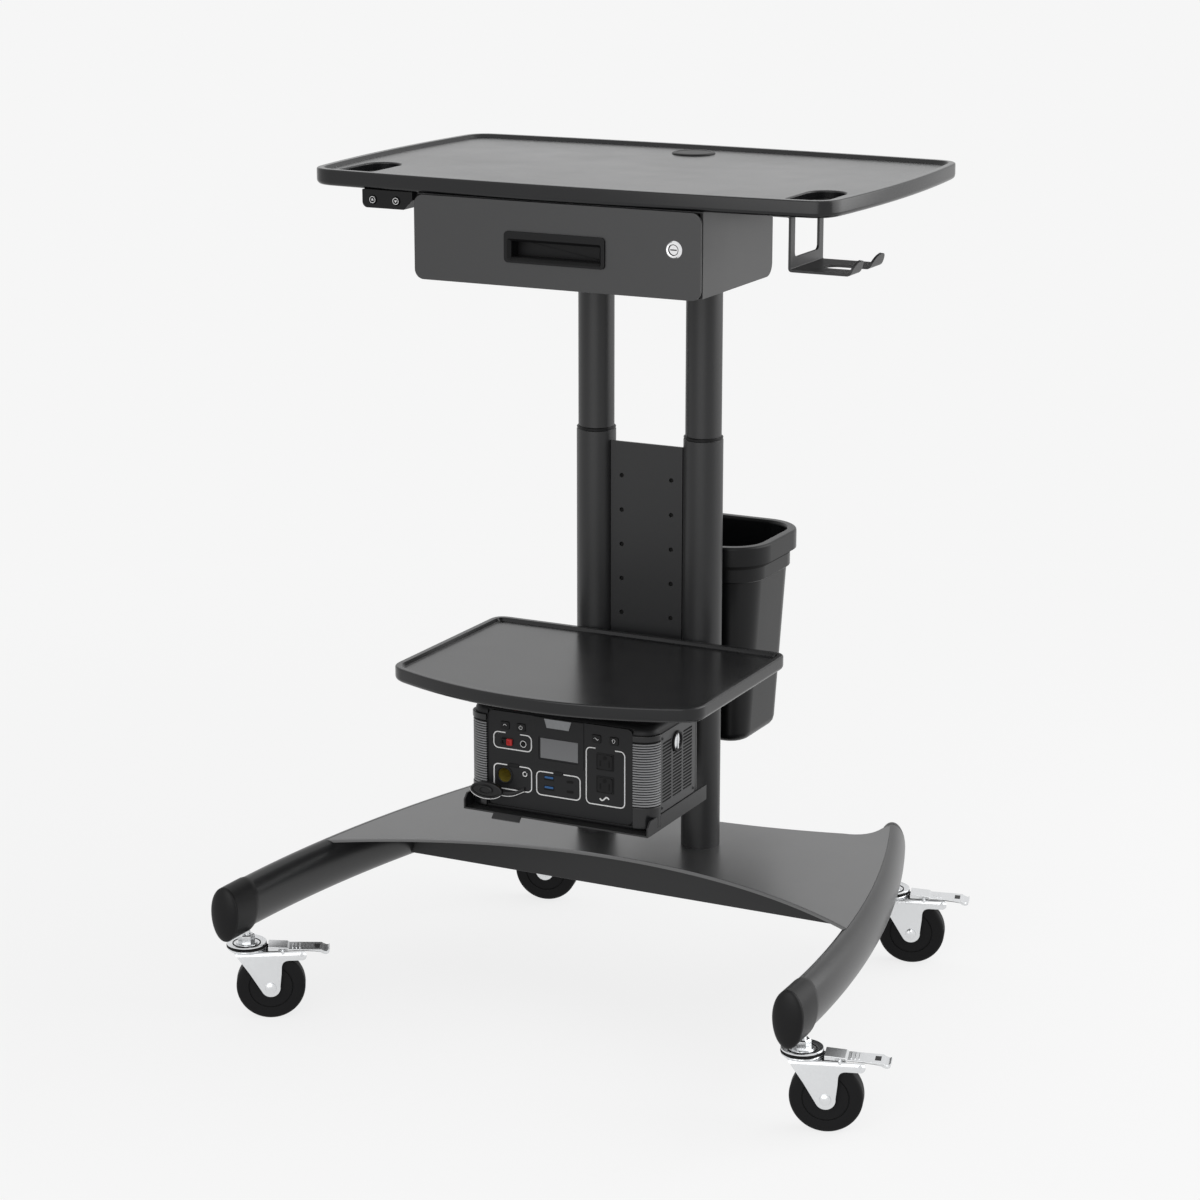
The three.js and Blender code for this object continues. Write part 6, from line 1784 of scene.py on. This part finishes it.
def add_camera():
    data = bpy.data.cameras.new("camera")
    data.sensor_width = SENSOR
    data.lens = SENSOR * LENS_PIXELS / PHOTO_PIXELS
    data.clip_end = CAMERA_REACH
    camera = new_object("camera", data)
    camera.location = CAMERA_PLACE
    camera.rotation_euler = (math.radians(90 - CAMERA_TILT), 0, math.radians(CAMERA_TURN))
    bpy.context.scene.camera = camera


def add_lamp(name, place, target, width, height, power):
    data = bpy.data.lights.new(name, "AREA")
    data.shape = "RECTANGLE"
    data.size, data.size_y = width, height
    data.energy = power
    lamp = new_object(name, data)
    lamp.location = place
    lamp.rotation_euler = (Vector(target) - Vector(place)).to_track_quat("-Z", "Y").to_euler()


def seen_rays(tree):
    """One for rays from the camera, and for those that glossy and clear surfaces send on."""
    rays = tree.nodes.new("ShaderNodeLightPath").outputs
    first = calc(tree, "MAXIMUM", rays["Is Camera Ray"], rays["Is Glossy Ray"])
    return calc(tree, "MAXIMUM", first, rays["Is Transmission Ray"])


def add_world():
    world = bpy.data.worlds.new("studio")
    bpy.context.scene.world = world
    world.use_nodes = True
    tree = world.node_tree
    tree.nodes.clear()
    soft = add_node(tree, "ShaderNodeBackground", Strength=SOFT_LIGHT, Color=WHITE)
    backdrop = add_node(tree, "ShaderNodeBackground", Strength=1.0, Color=(*BACKGROUND, 1))
    links = {0: seen_rays(tree), 1: soft.outputs[0], 2: backdrop.outputs[0]}
    mix = add_node(tree, "ShaderNodeMixShader", links)
    add_node(tree, "ShaderNodeOutputWorld", {"Surface": mix.outputs[0]})


def ranged(tree, value, low, high, **values):
    """A value mapped from its own range to another."""
    links = {"Value": value}
    return add_node(tree, "ShaderNodeMapRange", links, To_Min=low, To_Max=high, **values).outputs[0]


def add_floor():
    """A pale floor that keeps the object's shadow and otherwise has the backdrop's colour."""
    material = bpy.data.materials.new("floor")
    material.use_nodes = True
    tree = material.node_tree
    shader = tree.nodes["Principled BSDF"]
    shader.inputs["Roughness"].default_value = FLOOR_ROUGHNESS
    shader.inputs["Specular IOR Level"].default_value = 0.0
    shader.inputs["Emission Color"].default_value = WHITE
    place = {0: object_coordinates(tree)}
    noise = add_node(tree, "ShaderNodeTexNoise", place, Scale=3.0).outputs["Fac"]
    reach = add_node(tree, "ShaderNodeVectorMath", place, operation="LENGTH").outputs["Value"]
    fade = {"interpolation_type": "SMOOTHSTEP", "From_Min": FLOOR_NEAR, "From_Max": FLOOR_FAR}
    even = ranged(tree, reach, 1.0, 0.0, **fade)
    matt = calc(tree, "MULTIPLY", ranged(tree, noise, *FLOOR_TONE), even)
    tree.links.new(matt, shader.inputs["Base Color"])
    glow = calc(tree, "MULTIPLY", seen_rays(tree), ranged(tree, even, BACKGROUND[1], FLOOR_GLOW))
    tree.links.new(glow, shader.inputs["Emission Strength"])
    bm = bmesh.new()
    bmesh.ops.create_grid(bm, x_segments=1, y_segments=1, size=FLOOR_HALF)
    floor = mesh_object("floor", bm)
    floor.data.materials.append(material)


def add_studio():
    bpy.context.scene.view_settings.view_transform = "Standard"
    add_world()
    add_floor()
    for name, softbox in SOFTBOXES.items():
        add_lamp(name, *softbox)


add_camera()
dress_frame()
add_base()
add_columns()
add_worktop()
add_shelf()
add_switch()
add_hook()
add_drawer()
add_tray()
add_station()
add_bin()
add_casters()
add_studio()
